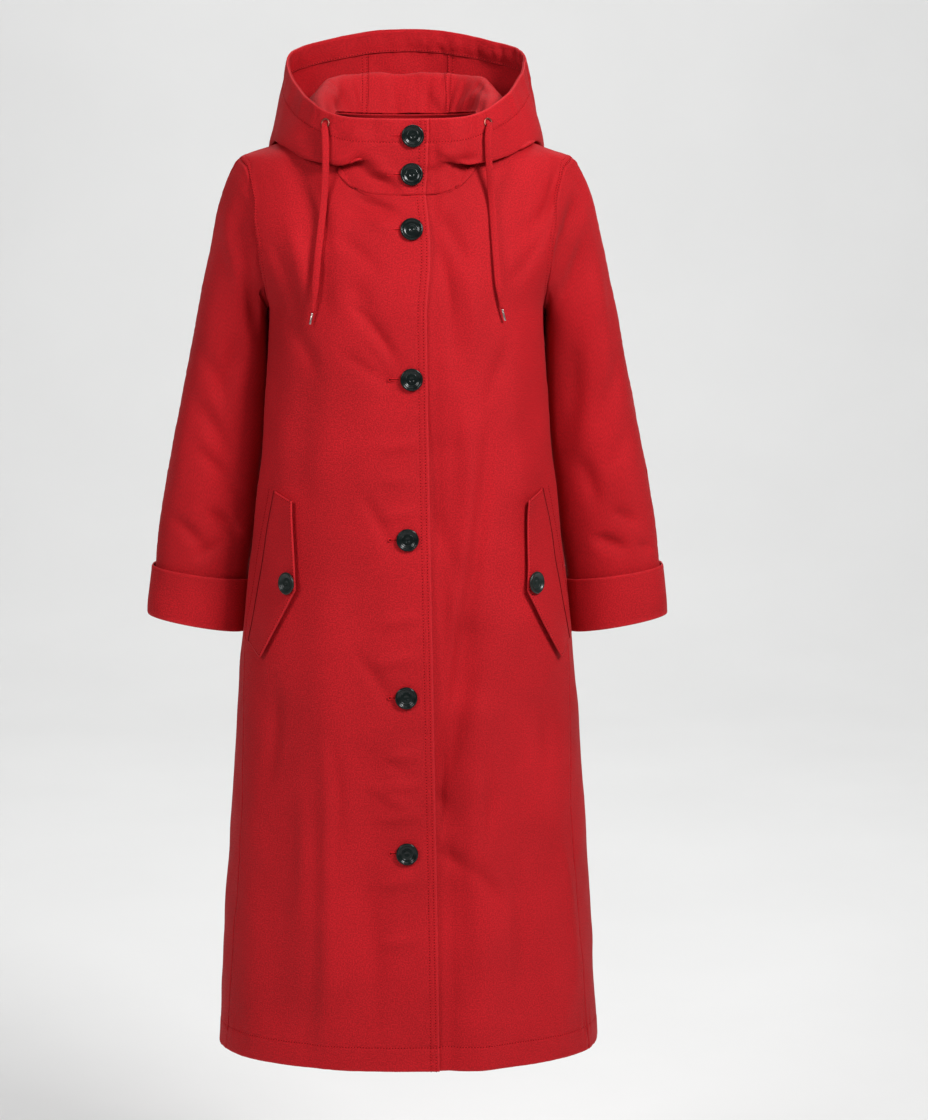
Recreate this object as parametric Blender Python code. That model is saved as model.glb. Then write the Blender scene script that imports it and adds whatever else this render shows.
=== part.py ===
"""A long A-line hooded coat in cotton twill, worn by nobody and buttoned up.

Metres, +Z up. The front faces -Y and the wearer's left is +X. The origin is the middle of the neck
opening, where a wearer's neck and shoulders hold the coat up.

Every cut piece is a wall of cloth. Its outer face lies on a form, its inner face lies one cloth
thickness inside, and its edges stop a seam gap short of the next piece.
"""
import math

import bmesh
import bpy
import numpy as np
from mathutils import Matrix, Vector

# Cloth and making-up
CLOTH = 0.0016
DOUBLE_CLOTH = 0.0020
SEAM_GAP = 0.0002

# Where the left front passes under the right one: how far in, and how far past the lap's edge
UNDERLAP_DROP = 0.0026
LAP_REACH = 0.021
LAP_RAMP = 0.012

# Heights of the coat
HEM = -1.136
UNDERARM = -0.2157
SHOULDER_POINT = -0.033
NECK_POINT = 0.022

# The shoulder seam sits this far in front of the top of the shoulder, in degrees
SEAM_FORWARD = 6.0

# Faces that meet at more than this many degrees keep a crisp edge between them
SHARP_ANGLE = 35.0

# Grid sizes
LOWER_ROWS = 11
ARM_ROWS = 9
SHOULDER_COLUMNS = 5
HOOD_ROWS = 12
SLEEVE_ROWS = 15
SLEEVE_CROWDING = 1.25
CUFF_COLUMNS = 24

# The torso form: a superellipse at each height
FORM_COLUMNS = ("height", "half_width", "front_depth", "back_depth", "roundness")
FORM = (
    (-1.1360, 0.2385, 0.150, 0.151, 2.10),
    (-0.9520, 0.2286, 0.149, 0.149, 2.10),
    (-0.8000, 0.2177, 0.149, 0.147, 2.15),
    (-0.6270, 0.2043, 0.147, 0.142, 2.20),
    (-0.5000, 0.1910, 0.143, 0.133, 2.20),
    (-0.3660, 0.1760, 0.138, 0.125, 2.30),
    (-0.2157, 0.1675, 0.134, 0.128, 2.30),
    (-0.1500, 0.2000, 0.124, 0.125, 2.20),
    (-0.1000, 0.2130, 0.112, 0.117, 2.00),
    (-0.0600, 0.2120, 0.098, 0.106, 1.80),
    (-0.0330, 0.2015, 0.084, 0.096, 1.70),
    (-0.0190, 0.1650, 0.074, 0.090, 1.80),
    (-0.0020, 0.1250, 0.058, 0.080, 1.90),
    (0.0220, 0.0850, 0.035, 0.066, 2.00),
    (0.0260, 0.0780, 0.030, 0.062, 2.00),
)

# The neckline on the form. Station 0 is centre front, 7 the neck point, 11 centre back, and once
# round the coat is 22 stations. Beside centre front a station is this wide, there and on the hood
ALL_STATIONS = 22.0
NECK_STATION_WIDTH = 0.0335
HOOD_STATION_WIDTH = 0.0360
NECK_COLUMNS = ("station", "angle", "height")
NECKLINE = (
    (0.0, 0.0, -0.0750),
    (1.0, 10.1, -0.0740),
    (2.0, 17.6, -0.0680),
    (3.0, 23.9, -0.0540),
    (4.0, 29.5, -0.0360),
    (5.0, 40.0, -0.0120),
    (6.0, 58.4, 0.0100),
    (7.0, 84.0, 0.0220),
    (8.0, 111.5, 0.0214),
    (9.0, 129.9, 0.0205),
    (10.0, 146.9, 0.0197),
    (11.0, 180.0, 0.0190),
)

# How far forward of the side the side seam has swung at each height, in degrees
SEAM_COLUMNS = ("height", "swing")
SIDE_SEAM = (
    (-1.1360, 19.0),
    (-0.8700, 24.0),
    (-0.6200, 15.0),
    (-0.4000, 4.0),
    (-0.2157, 0.0),
)

# How far out the armhole seam is, at each height
ARMHOLE_COLUMNS = ("height", "front_x", "back_x")
ARMHOLE = (
    (-0.2157, 0.1675, 0.1675),
    (-0.1900, 0.1700, 0.1730),
    (-0.1527, 0.1763, 0.1830),
    (-0.0950, 0.1815, 0.1880),
    (-0.0600, 0.1900, 0.1930),
    (-0.0330, 0.2015, 0.2015),
)

# The edge of the right front, which laps over the left one
LAP_COLUMNS = ("height", "right_edge", "left_edge")
FRONT_LAP = (
    (-1.136, 0.0410, 0.0200),
    (-0.950, 0.0385, 0.0200),
    (-0.627, 0.0330, 0.0200),
    (-0.300, 0.0275, 0.0200),
    (-0.075, 0.0250, 0.0200),
)

# The sleeve: its line over the arm, its line under the arm, and its depth front to back. "fullness"
# is 0 where the ring still has the armhole's shape and 1 where it is an oval
SLEEVE_COLUMNS = ("share", "over_x", "over_z", "under_x", "under_z", "half_depth", "middle_y",
                  "fullness")
SLEEVE = (
    (0.00, 0.2015, -0.0330, 0.1675, -0.2157, 0.0630, 0.0000, 0.00),
    (0.04, 0.2130, -0.0505, 0.1705, -0.2180, 0.0630, 0.0060, 0.15),
    (0.10, 0.2260, -0.0800, 0.1702, -0.2280, 0.0630, 0.0180, 0.40),
    (0.19, 0.2388, -0.1330, 0.1690, -0.2480, 0.0630, 0.0310, 0.70),
    (0.27, 0.2500, -0.1820, 0.1688, -0.2750, 0.0620, 0.0380, 0.90),
    (0.36, 0.2604, -0.2320, 0.1702, -0.3080, 0.0600, 0.0420, 1.00),
    (0.45, 0.2710, -0.2840, 0.1726, -0.3430, 0.0590, 0.0440, 1.00),
    (0.54, 0.2812, -0.3360, 0.1762, -0.3800, 0.0570, 0.0450, 1.00),
    (0.63, 0.2914, -0.3880, 0.1805, -0.4180, 0.0550, 0.0450, 1.00),
    (0.72, 0.3012, -0.4400, 0.1850, -0.4570, 0.0530, 0.0440, 1.00),
    (0.82, 0.3094, -0.4920, 0.1895, -0.4970, 0.0510, 0.0410, 1.00),
    (0.89, 0.3128, -0.5270, 0.1970, -0.5400, 0.0500, 0.0390, 1.00),
    (0.95, 0.3166, -0.5620, 0.2015, -0.5800, 0.0490, 0.0380, 1.00),
    (1.00, 0.3214, -0.5945, 0.2045, -0.6158, 0.0480, 0.0380, 1.00),
)

# The turned-up cuff, from its top edge down its outside and under the end of the sleeve
CUFF_COLUMNS_NAMED = ("share", "over_x", "over_z", "under_x", "under_z", "half_depth")
CUFF_MIDDLE_Y = 0.038
CUFF = (
    (0.00, 0.3185, -0.5360, 0.1945, -0.5530, 0.0555),
    (0.45, 0.3222, -0.5640, 0.1972, -0.5850, 0.0545),
    (0.90, 0.3254, -0.5945, 0.2008, -0.6165, 0.0530),
    (0.95, 0.3247, -0.5978, 0.2018, -0.6197, 0.0520),
    (1.00, 0.3187, -0.5985, 0.2080, -0.6202, 0.0450),
)

# The hood. From the neckline it climbs to a ridge inside, drops between the two sides of a fold
# and climbs again to its face edge. Stations match the neckline's
HOOD_COLUMNS = ("station", "ridge", "fold_in", "fold_out", "face")
HOOD = (
    (0, (0.0000, -0.0995, -0.0480), (0.0000, -0.1000, -0.0280), (0.0000, -0.1005, -0.0080),
     (0.0000, -0.1000, 0.0150)),
    (1, (0.0350, -0.0980, -0.0470), (0.0365, -0.0985, -0.0290), (0.0375, -0.1000, -0.0100),
     (0.0380, -0.0990, 0.0155)),
    (2, (0.0610, -0.0860, -0.0270), (0.0650, -0.0935, -0.0395), (0.0680, -0.1000, -0.0300),
     (0.0700, -0.0930, 0.0175)),
    (3, (0.0770, -0.0690, -0.0040), (0.0850, -0.0825, -0.0350), (0.0905, -0.0920, -0.0330),
     (0.0940, -0.0785, 0.0240)),
    (4, (0.0890, -0.0530, 0.0060), (0.1120, -0.0600, -0.0210), (0.1225, -0.0690, -0.0265),
     (0.1100, -0.0590, 0.0340)),
    (5, (0.0990, -0.0310, 0.0200), (0.1350, -0.0290, -0.0040), (0.1490, -0.0350, -0.0150),
     (0.1270, -0.0270, 0.0480)),
    (6, (0.1060, 0.0020, 0.0380), (0.1460, 0.0080, 0.0010), (0.1615, 0.0060, -0.0095),
     (0.1400, 0.0120, 0.0660)),
    (7, (0.1040, 0.0340, 0.0520), (0.1500, 0.0460, -0.0110), (0.1680, 0.0520, -0.0250),
     (0.1466, 0.0480, 0.0820)),
    (8, (0.0980, 0.0560, 0.0600), (0.1440, 0.0800, -0.0400), (0.1630, 0.0980, -0.0520),
     (0.1420, 0.0820, 0.0970)),
    (9, (0.0800, 0.0740, 0.0630), (0.1150, 0.1080, -0.0700), (0.1290, 0.1430, -0.0760),
     (0.1070, 0.1120, 0.1090)),
    (10, (0.0470, 0.0870, 0.0630), (0.0470, 0.1270, -0.0920), (0.0490, 0.1680, -0.0980),
     (0.0500, 0.1340, 0.1210)),
    (11, (0.0000, 0.0900, 0.0630), (0.0000, 0.1310, -0.0960), (0.0000, 0.1730, -0.1040),
     (0.0000, 0.1400, 0.1240)),
)
GUSSET_STATION = 10.0
CHANNEL_STATION = 2.0
CHANNEL_DEPTH = 0.028
CHANNEL_CLOTH = 0.0010
CHANNEL_GAP = 0.0007

# Soft folds: the line of each in the front view (x, z), its half width and how far it stands out.
# Those of the right front fade towards its lap: where they are gone, and over what width
FOLDS_GONE_X = 0.005
FOLDS_FADE_WIDTH = 0.030
FOLD_COLUMNS = ("from_x", "from_z", "to_x", "to_z", "half_width", "height")
FRONT_FOLDS = (
    (-0.120, -0.045, -0.098, -0.200, 0.016, -0.0050),
    (0.176, -0.060, 0.140, -0.120, 0.014, -0.0040),
    (-0.056, -0.190, -0.012, -0.285, 0.013, -0.0035),
    (0.040, -0.120, 0.058, -0.250, 0.018, -0.0040),
    (0.080, -0.600, 0.046, -0.800, 0.022, -0.0055),
    (0.098, -0.740, 0.092, -1.040, 0.026, 0.0040),
    (-0.090, -0.560, -0.096, -1.080, 0.028, 0.0040),
    (-0.150, -0.700, -0.160, -1.060, 0.026, -0.0040),
    (0.150, -0.700, 0.158, -1.060, 0.026, -0.0040),
    (-0.040, -0.760, -0.036, -1.020, 0.024, -0.0030),
)
BACK_FOLDS = (
    (0.000, -0.420, 0.000, -1.080, 0.034, 0.0060),
    (0.062, -0.460, 0.070, -1.136, 0.030, -0.0060),
    (-0.062, -0.430, -0.068, -1.136, 0.030, -0.0055),
    (0.124, -0.560, 0.138, -1.136, 0.030, 0.0050),
    (-0.120, -0.520, -0.136, -1.136, 0.030, 0.0055),
    (0.130, -0.070, 0.085, -0.230, 0.018, -0.0040),
    (-0.132, -0.075, -0.088, -0.240, 0.018, -0.0040),
)

# Slanted pocket flaps: five corners of each in the front view, as worn
FLAP_CORNERS = ("seam_top", "seam_low", "free_top", "free_corner", "free_tip")
FLAPS = {
    "flap_right": ((-0.1575, -0.4310), (-0.1915, -0.6190), (-0.1325, -0.4405),
                   (-0.1290, -0.5475), (-0.1725, -0.6340)),
    "flap_left": ((0.1655, -0.4290), (0.1985, -0.6180), (0.1435, -0.4410),
                  (0.1430, -0.5495), (0.1830, -0.6350)),
}
FLAP_BEND = 0.5
FLAP_LIFT = 0.0006
FLAP_FREE_LIFT = 0.0034

# Buttons: radius and height of their turned shape, how far they stand off the cloth, and the place
# of each in the front view. A pocket button sits where its flap has this share of its free lift
BUTTON_SIDES = 14
BUTTON_LIFT = 0.0009
POCKET_LIFT_SHARE = 0.45
BUTTON_PROFILE = (
    (0.0000, 0.0000),
    (0.0105, 0.0000),
    (0.0135, 0.0016),
    (0.0126, 0.0039),
    (0.0104, 0.0036),
    (0.0094, 0.0026),
    (0.0000, 0.0026),
)
BUTTONS = (
    ("button_1", 0.0080, -0.0054),
    ("button_2", 0.0068, -0.0510),
    ("button_3", 0.0068, -0.1155),
    ("button_4", 0.0055, -0.2915),
    ("button_5", 0.0025, -0.4825),
    ("button_6", 0.0012, -0.6730),
    ("button_7", 0.0018, -0.8638),
)
POCKET_BUTTONS = (
    ("button_pocket_right", -0.1430, -0.5390),
    ("button_pocket_left", 0.1580, -0.5395),
)

# Drawstrings, each with a metal eyelet in the hood and a slim metal tip, whose turned shapes are
# radius and height. The gap keeps each metal piece just clear of what it sits on
CORD_DIAMETER = 0.0065
CORD_STEP = 0.0130
METAL_GAP = 0.0004
EYELET_SIDES = 16
EYELET_PROFILE = (
    (0.0042, 0.0004),
    (0.0048, 0.0000),
    (0.0068, 0.0000),
    (0.0064, 0.00056),
    (0.0053, 0.0008),
)
TIP_SIDES = 10
TIP_PROFILE = (
    (0.0000, 0.0000),
    (0.0014, 0.0000),
    (0.0014, 0.0132),
    (0.00084, 0.0140),
    (0.0000, 0.0140),
)
CORDS = {
    "right": {
        "eyelet": (-0.0940, 0.0090),
        "route": (
            (-0.0960, -0.0853, 0.0096),
            (-0.0948, -0.0908, 0.0010),
            (-0.0940, -0.0938, -0.0090),
            (-0.0936, -0.0958, -0.0220),
            (-0.0936, -0.0970, -0.0360),
            (-0.0940, -0.0978, -0.0520),
            (-0.0950, -0.0986, -0.0700),
            (-0.0970, -0.1007, -0.0920),
            (-0.0998, -0.1060, -0.1180),
            (-0.1028, -0.1100, -0.1440),
            (-0.1051, -0.1122, -0.1700),
            (-0.1073, -0.1128, -0.1930),
            (-0.1098, -0.1132, -0.2140),
        ),
        "tip": (-0.1133, -0.1122, -0.2300),
    },
    "left": {
        "eyelet": (0.0990, 0.0095),
        "route": (
            (0.1014, -0.0812, 0.0103),
            (0.1000, -0.0867, 0.0018),
            (0.0993, -0.0899, -0.0085),
            (0.0995, -0.0923, -0.0215),
            (0.1002, -0.0940, -0.0360),
            (0.1013, -0.0953, -0.0520),
            (0.1027, -0.0966, -0.0700),
            (0.1045, -0.1003, -0.0920),
            (0.1064, -0.1076, -0.1180),
            (0.1084, -0.1128, -0.1440),
            (0.1104, -0.1149, -0.1680),
            (0.1128, -0.1141, -0.1900),
            (0.1160, -0.1117, -0.2100),
        ),
        "tip": (0.1200, -0.1095, -0.2255),
    },
}

# Colours, roughness and metallic value of each finish
FINISHES = {
    "twill": ((0.46, 0.012, 0.022), 0.85, 0.0),
    "button": ((0.012, 0.018, 0.018), 0.25, 0.0),
    "drawstring": ((0.44, 0.012, 0.020), 0.85, 0.0),
    "metal": ((0.62, 0.55, 0.52), 0.30, 1.0),
}


def clear_scene():
    """Start from a scene with nothing in it."""
    for old in list(bpy.data.objects):
        bpy.data.objects.remove(old, do_unlink=True)


def finish(name):
    """One material for each kind of surface."""
    material = bpy.data.materials.get(name)
    if material is None:
        colour, roughness, metallic = FINISHES[name]
        material = bpy.data.materials.new(name)
        material.use_nodes = True
        shader = material.node_tree.nodes["Principled BSDF"]
        shader.inputs["Base Color"].default_value = (*colour, 1.0)
        shader.inputs["Roughness"].default_value = roughness
        shader.inputs["Metallic"].default_value = metallic
    return material


def column(table, names, name):
    """One named column of a table."""
    index = names.index(name)
    return [row[index] for row in table]


def monotone(keys, values):
    """A smooth curve through the rows of a table that never overshoots between two of them."""
    keys = np.array(keys, float)
    values = np.array(values, float)
    step = np.diff(keys)
    rise = np.diff(values) / step
    slope = np.zeros_like(values)
    slope[0] = rise[0]
    slope[-1] = rise[-1]
    for i in range(1, len(keys) - 1):
        if rise[i - 1] * rise[i] > 0:
            slope[i] = 2 * rise[i - 1] * rise[i] / (rise[i - 1] + rise[i])

    def read(at):
        at = np.clip(np.asarray(at, float), keys[0], keys[-1])
        i = np.clip(np.searchsorted(keys, at, side="right") - 1, 0, len(step) - 1)
        t = (at - keys[i]) / step[i]
        start = (1 + 2 * t) * (1 - t) ** 2 * values[i] + t * (1 - t) ** 2 * step[i] * slope[i]
        end = t * t * (3 - 2 * t) * values[i + 1] + t * t * (t - 1) * step[i] * slope[i + 1]
        return start + end

    return read


def readers(table, names):
    """A smooth curve for each column of a table against its first column."""
    keys = column(table, names, names[0])
    return {name: monotone(keys, column(table, names, name)) for name in names[1:]}


form = readers(FORM, FORM_COLUMNS)
neck = readers(NECKLINE, NECK_COLUMNS)
seam = readers(SIDE_SEAM, SEAM_COLUMNS)
armhole = readers(ARMHOLE, ARMHOLE_COLUMNS)
lap = readers(FRONT_LAP, LAP_COLUMNS)
sleeve = readers(SLEEVE, SLEEVE_COLUMNS)
cuff = readers(CUFF, CUFF_COLUMNS_NAMED)


def smooth_step(value):
    """0 below 0, 1 above 1, and a soft ramp between."""
    t = np.clip(value, 0.0, 1.0)
    return t * t * (3 - 2 * t)


def between(a, b, share):
    """The value at a share of the way from a to b."""
    return a + (b - a) * share


def unit(vectors):
    """The same directions at length one."""
    return vectors / np.linalg.norm(vectors, axis=-1, keepdims=True)


def on_form(angle, height):
    """A point of the torso form. Angle 0 is centre front, 90 the wearer's left and 180 the back."""
    turn = np.radians(angle)
    across = np.sin(turn)
    ahead = np.cos(turn)
    power = 2 / form["roundness"](height)
    depth = np.where(ahead > 0, form["front_depth"](height), form["back_depth"](height))
    x = form["half_width"](height) * np.sign(across) * np.abs(across) ** power
    y = -depth * np.sign(ahead) * np.abs(ahead) ** power
    return np.stack([x, y, height + 0 * x], axis=-1)


def form_normal(angle, height):
    """The direction straight out of the torso form."""
    turn = 0.4
    rise = 0.0008
    around = on_form(angle + turn, height) - on_form(angle - turn, height)
    up = on_form(angle, height + rise) - on_form(angle, height - rise)
    return unit(np.cross(around, up))


def angle_at(x, height):
    """The angle at which the form is this far out from the middle, on the front."""
    share = np.clip(np.abs(x) / form["half_width"](height), 0.0, 1.0)
    return np.sign(x) * np.degrees(np.arcsin(share ** (form["roundness"](height) / 2)))


def fold_height(x, z, folds):
    """How far the soft folds push the cloth out at a place of the front or back view."""
    total = 0 * x
    for row in folds:
        fold = dict(zip(FOLD_COLUMNS, row))
        run_x = fold["to_x"] - fold["from_x"]
        run_z = fold["to_z"] - fold["from_z"]
        from_x = x - fold["from_x"]
        from_z = z - fold["from_z"]
        share = np.clip((from_x * run_x + from_z * run_z) / (run_x ** 2 + run_z ** 2), 0.0, 1.0)
        away = np.hypot(from_x - share * run_x, from_z - share * run_z)
        total = total + fold["height"] * np.exp(-(away / fold["half_width"]) ** 2)
    return total


def cloth_face(angle, height, lift=0.0, under=False):
    """A point of the coat's outer face and the direction out of it, folds included."""
    point = on_form(angle, height)
    out = form_normal(angle, height)
    x = point[..., 0]
    front = fold_height(x, point[..., 2], FRONT_FOLDS)
    past_lap = lap["right_edge"](height) + LAP_REACH
    if under:
        front = np.where(x < past_lap, np.minimum(front, 0.0), front)
    else:
        fade = smooth_step((FOLDS_GONE_X - x) / FOLDS_FADE_WIDTH)
        front = front * np.where(x < past_lap - LAP_REACH / 2, fade, 1.0)
    back = fold_height(x, point[..., 2], BACK_FOLDS)
    share = smooth_step(0.5 + 2.0 * np.cos(np.radians(angle)))
    push = front * share + back * (1 - share) + lift
    return point + out * push[..., None], out


def underlap_drop(x, height):
    """How far the left front is held in, so that it passes under the right one."""
    ramp_from = lap["right_edge"](height) + LAP_REACH
    return -UNDERLAP_DROP * smooth_step((ramp_from - x) / LAP_RAMP)


def mesh_object(name, bm, finish_name):
    """Turn a finished bmesh into a named, smooth shaded object."""
    bmesh.ops.recalc_face_normals(bm, faces=bm.faces)
    if bm.calc_volume(signed=True) < 0:
        bmesh.ops.reverse_faces(bm, faces=bm.faces)
    mesh = bpy.data.meshes.new(name)
    bm.to_mesh(mesh)
    bm.free()
    mesh.shade_smooth()
    mesh.set_sharp_from_angle(angle=math.radians(SHARP_ANGLE))
    mesh.materials.append(finish(finish_name))
    piece = bpy.data.objects.new(name, mesh)
    bpy.context.scene.collection.objects.link(piece)
    return piece


def pulled_back(outer, inner, gap=SEAM_GAP):
    """Move the edges of a wall back along the cloth, so that it stops short of its neighbours."""
    outer = outer.copy()
    inner = inner.copy()
    edges = ((0, 1), (-1, -2))
    for edge, inside in edges:
        step = gap * unit(outer[inside] - outer[edge])
        outer[edge] += step
        inner[edge] += step
    for edge, inside in edges:
        step = gap * unit(outer[:, inside] - outer[:, edge])
        outer[:, edge] += step
        inner[:, edge] += step
    return outer, inner


def wall(name, outer, inner, finish_name="twill"):
    """A flat grid, given a second side, is bent so that its sides lie on the two faces."""
    outer, inner = pulled_back(outer, inner)
    rows, columns = outer.shape[:2]
    bm = bmesh.new()
    bmesh.ops.create_grid(bm, x_segments=columns - 1, y_segments=rows - 1, size=1.0)
    made = bmesh.ops.extrude_face_region(bm, geom=bm.faces[:], use_keep_orig=True)
    second = [item for item in made["geom"] if isinstance(item, bmesh.types.BMVert)]
    bmesh.ops.translate(bm, verts=second, vec=(0.0, 0.0, 1.0))
    for vert in bm.verts:
        across = round((vert.co.x + 1) / 2 * (columns - 1))
        up = round((vert.co.y + 1) / 2 * (rows - 1))
        face = inner if vert.co.z > 0.5 else outer
        vert.co = face[up, across]
    return mesh_object(name, bm, finish_name)


def mirrored(points, side):
    """Points worked out for the wearer's left, for the side asked for."""
    points = points.copy()
    points[..., 0] *= side
    return points


def arm_shares():
    """Shares of the armhole's height, closer together at the underarm and the shoulder."""
    crowding = 0.7
    even = np.linspace(0.0, 1.0, ARM_ROWS)
    return between(even, (1 - np.cos(np.pi * even)) / 2, crowding)


def armhole_angle(shares, which):
    """The angle of the armhole seam on the front or the back half, from centre front or back."""
    height = between(UNDERARM, SHOULDER_POINT, shares)
    forward = SEAM_FORWARD * shares ** 6
    if which == "front_x":
        forward = -forward
    return angle_at(armhole[which](height), height) + forward


def panel(top_angle, top_height, shares, edge_angle, side_angle, arm_angle):
    """Angles and heights of a front or half back, from hem to underarm and on to its top edge."""
    low_heights = np.linspace(HEM, UNDERARM, LOWER_ROWS)
    low_angles = [between(edge_angle(z), side_angle(z), shares) for z in low_heights]
    angles = list(low_angles)
    heights = [np.full(len(shares), z) for z in low_heights]
    for up, at_arm in zip(arm_shares()[1:], arm_angle[1:]):
        plain = between(low_angles[-1], top_angle, up)
        at_side = between(low_angles[-1][-1], top_angle[-1], up)
        angles.append(plain + shares * (at_arm - at_side))
        heights.append(between(UNDERARM, top_height, up))
    return np.array(angles), np.array(heights)


def length_shares(points):
    """The share of the way along a line that each of its points has."""
    steps = np.linalg.norm(np.diff(points, axis=0), axis=1)
    run = np.concatenate([[0.0], np.cumsum(steps)])
    return run / run[-1]


def shoulder_line():
    """Heights down the shoulder seam, evenly spaced across it."""
    heights = np.linspace(NECK_POINT, SHOULDER_POINT, 60)
    run = length_shares(on_form(90 + 0 * heights, heights))
    wanted = np.linspace(0.0, 1.0, SHOULDER_COLUMNS + 1)[1:]
    return np.interp(wanted, run, heights)


def side_seam(height):
    """The angle of the side seam from centre front."""
    return 90 - seam["swing"](height)


def lap_station(side):
    """The neckline station at which a front ends past centre front."""
    edge = lap["right_edge" if side < 0 else "left_edge"](NECKLINE[0][2])
    return -edge / NECK_STATION_WIDTH


def front_stations(side):
    """Neckline stations of a front and its half of the hood, from the lap to the neck point."""
    return np.concatenate([[lap_station(side)], np.arange(0.0, 7.01, 0.5)])


def signed_neck(stations):
    """Angle and height of the neckline, which goes on past centre front on the lap."""
    angle = np.sign(stations) * neck["angle"](np.abs(stations))
    return angle, neck["height"](np.abs(stations))


def make_front(name, side):
    """A front, from its lap at centre front to the side seam and armhole."""
    neck_angle, neck_height = signed_neck(front_stations(side))
    slope = shoulder_line()
    top_angle = np.concatenate([neck_angle, np.full(len(slope), 90 - SEAM_FORWARD)])
    top_height = np.concatenate([neck_height, slope])
    shares = length_shares(on_form(top_angle, top_height))
    edge = lap["right_edge" if side < 0 else "left_edge"]
    angles, heights = panel(top_angle, top_height, shares,
                            lambda z: -angle_at(edge(z), z), side_seam,
                            armhole_angle(arm_shares(), "front_x"))
    build_torso_wall(name, angles * side, heights)


def build_torso_wall(name, angles, heights):
    """A wall on the torso form, held in where it passes under the other front."""
    under = name == "front_left"
    lift = 0 * angles
    if under:
        lift = underlap_drop(on_form(angles, heights)[..., 0], heights)
    outer, out = cloth_face(angles, heights, lift, under)
    wall(name, outer, outer - out * CLOTH)


def make_back():
    """The back, in one piece from side seam to side seam."""
    stations = np.arange(11.0, 6.99, -0.5)
    neck_angle = 180 - neck["angle"](stations)
    slope = shoulder_line()
    top_angle = np.concatenate([neck_angle, np.full(len(slope), 90 + SEAM_FORWARD)])
    top_height = np.concatenate([neck["height"](stations), slope])
    shares = length_shares(on_form(180 - top_angle, top_height))
    angles, heights = panel(top_angle, top_height, shares,
                            lambda z: 0.0, lambda z: 180 - side_seam(z),
                            armhole_angle(arm_shares(), "back_x"))
    right_half = 180 + angles[:, ::-1]
    left_half = 180 - angles[:, 1:]
    build_torso_wall("back", np.concatenate([right_half, left_half], axis=1),
                     np.concatenate([heights[:, ::-1], heights[:, 1:]], axis=1))


def sleeve_ring(row, angle_from_under, arm_point, ring=sleeve):
    """Points round the sleeve at a share of its length, from the underarm line to the overarm."""
    under = np.array([ring["under_x"](row), ring["under_z"](row)])
    over = np.array([ring["over_x"](row), ring["over_z"](row)])
    across = (1 - np.cos(angle_from_under)) / 2
    depth = ring["half_depth"](row) * np.sin(angle_from_under)
    oval = under + (over - under) * across[:, None]
    middle = ring["middle_y"](row) if "middle_y" in ring else CUFF_MIDDLE_Y
    points = np.stack([oval[:, 0], middle + depth, oval[:, 1]], axis=-1)
    if arm_point is None:
        return points
    full = ring["fullness"](row)
    top_under = np.array([arm_point[0, 0], arm_point[0, 2]])
    top_over = np.array([arm_point[-1, 0], arm_point[-1, 2]])
    climb = (arm_point[:, 2] - top_under[1]) / (top_over[1] - top_under[1])
    aside = arm_point[:, 0] - between(top_under[0], top_over[0], climb)
    shaped = under + (over - under) * climb[:, None]
    as_armhole = np.stack([shaped[:, 0] + aside, arm_point[:, 1] + middle, shaped[:, 1]], axis=-1)
    return between(as_armhole, points, full)


def grid_normals(points):
    """Directions out of a grid of points, from its own rows and columns."""
    around = np.gradient(points, axis=1)
    up = np.gradient(points, axis=0)
    return unit(np.cross(around, up))


def ring_normals(points):
    """Directions out of closed rings whose first and last columns are the same line."""
    closed = np.concatenate([points[:, -2:-1], points, points[:, 1:2]], axis=1)
    return grid_normals(closed)[:, 1:-1]


def make_sleeve(side_name, side):
    """Both halves of a sleeve, seamed under the arm and over it, from armhole to inside the cuff."""
    shares = arm_shares()
    height = between(UNDERARM, SHOULDER_POINT, shares)
    front_seam = on_form(armhole_angle(shares, "front_x"), height)
    back_seam = on_form(180 - armhole_angle(shares, "back_x"), height)
    turn = np.linspace(0.0, np.pi, ARM_ROWS)
    rings = []
    for row in np.linspace(0.0, 1.0, SLEEVE_ROWS) ** SLEEVE_CROWDING:
        front = sleeve_ring(row, -turn, front_seam)
        back = sleeve_ring(row, turn, back_seam)
        rings.append(np.concatenate([front[::-1], back[1:]]))
    outer = np.array(rings)
    out = ring_normals(outer)
    outer = mirrored(outer, side)
    out = mirrored(out, side)
    inner = outer - out * CLOTH
    underarm = ARM_ROWS - 1
    wall("sleeve_" + side_name + "_front", outer[:, :underarm + 1], inner[:, :underarm + 1])
    wall("sleeve_" + side_name + "_back", outer[:, underarm:], inner[:, underarm:])


def make_cuff(name, side):
    """The turned-up cuff: down its outside, round the fold and under the end of the sleeve."""
    turn = np.linspace(0.0, 2 * np.pi, CUFF_COLUMNS + 1)
    rows = column(CUFF, CUFF_COLUMNS_NAMED, "share")
    outer = np.array([sleeve_ring(row, turn, None, cuff) for row in rows])
    out = ring_normals(outer)
    outer = mirrored(outer, side)
    out = mirrored(out, side)
    wall(name, outer, outer - out * DOUBLE_CLOTH)


def hood_rings(station):
    """The neckline, ridge, two sides of the fold, and face edge of the hood at a station."""
    last = len(HOOD) - 1
    wrapped = station % (2 * last)
    side = 1.0
    if wrapped > last:
        wrapped = 2 * last - wrapped
        side = -1.0
    base = int(min(wrapped, last - 1e-9))
    t = wrapped - base
    rings = []
    for ring in range(1, len(HOOD_COLUMNS)):
        around = []
        for step in (-1, 0, 1, 2):
            index = base + step
            flip = 1.0
            if index < 0 or index > last:
                index = -index if index < 0 else 2 * last - index
                flip = -1.0
            x, y, z = HOOD[index][ring]
            around.append((flip * x, y, z))
        rings.append(spline_point(np.array(around), t))
    angle, height = signed_neck(np.array([wrapped]))
    rings.insert(0, on_form(angle, height)[0])
    return mirrored(np.array(rings), side)


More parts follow.
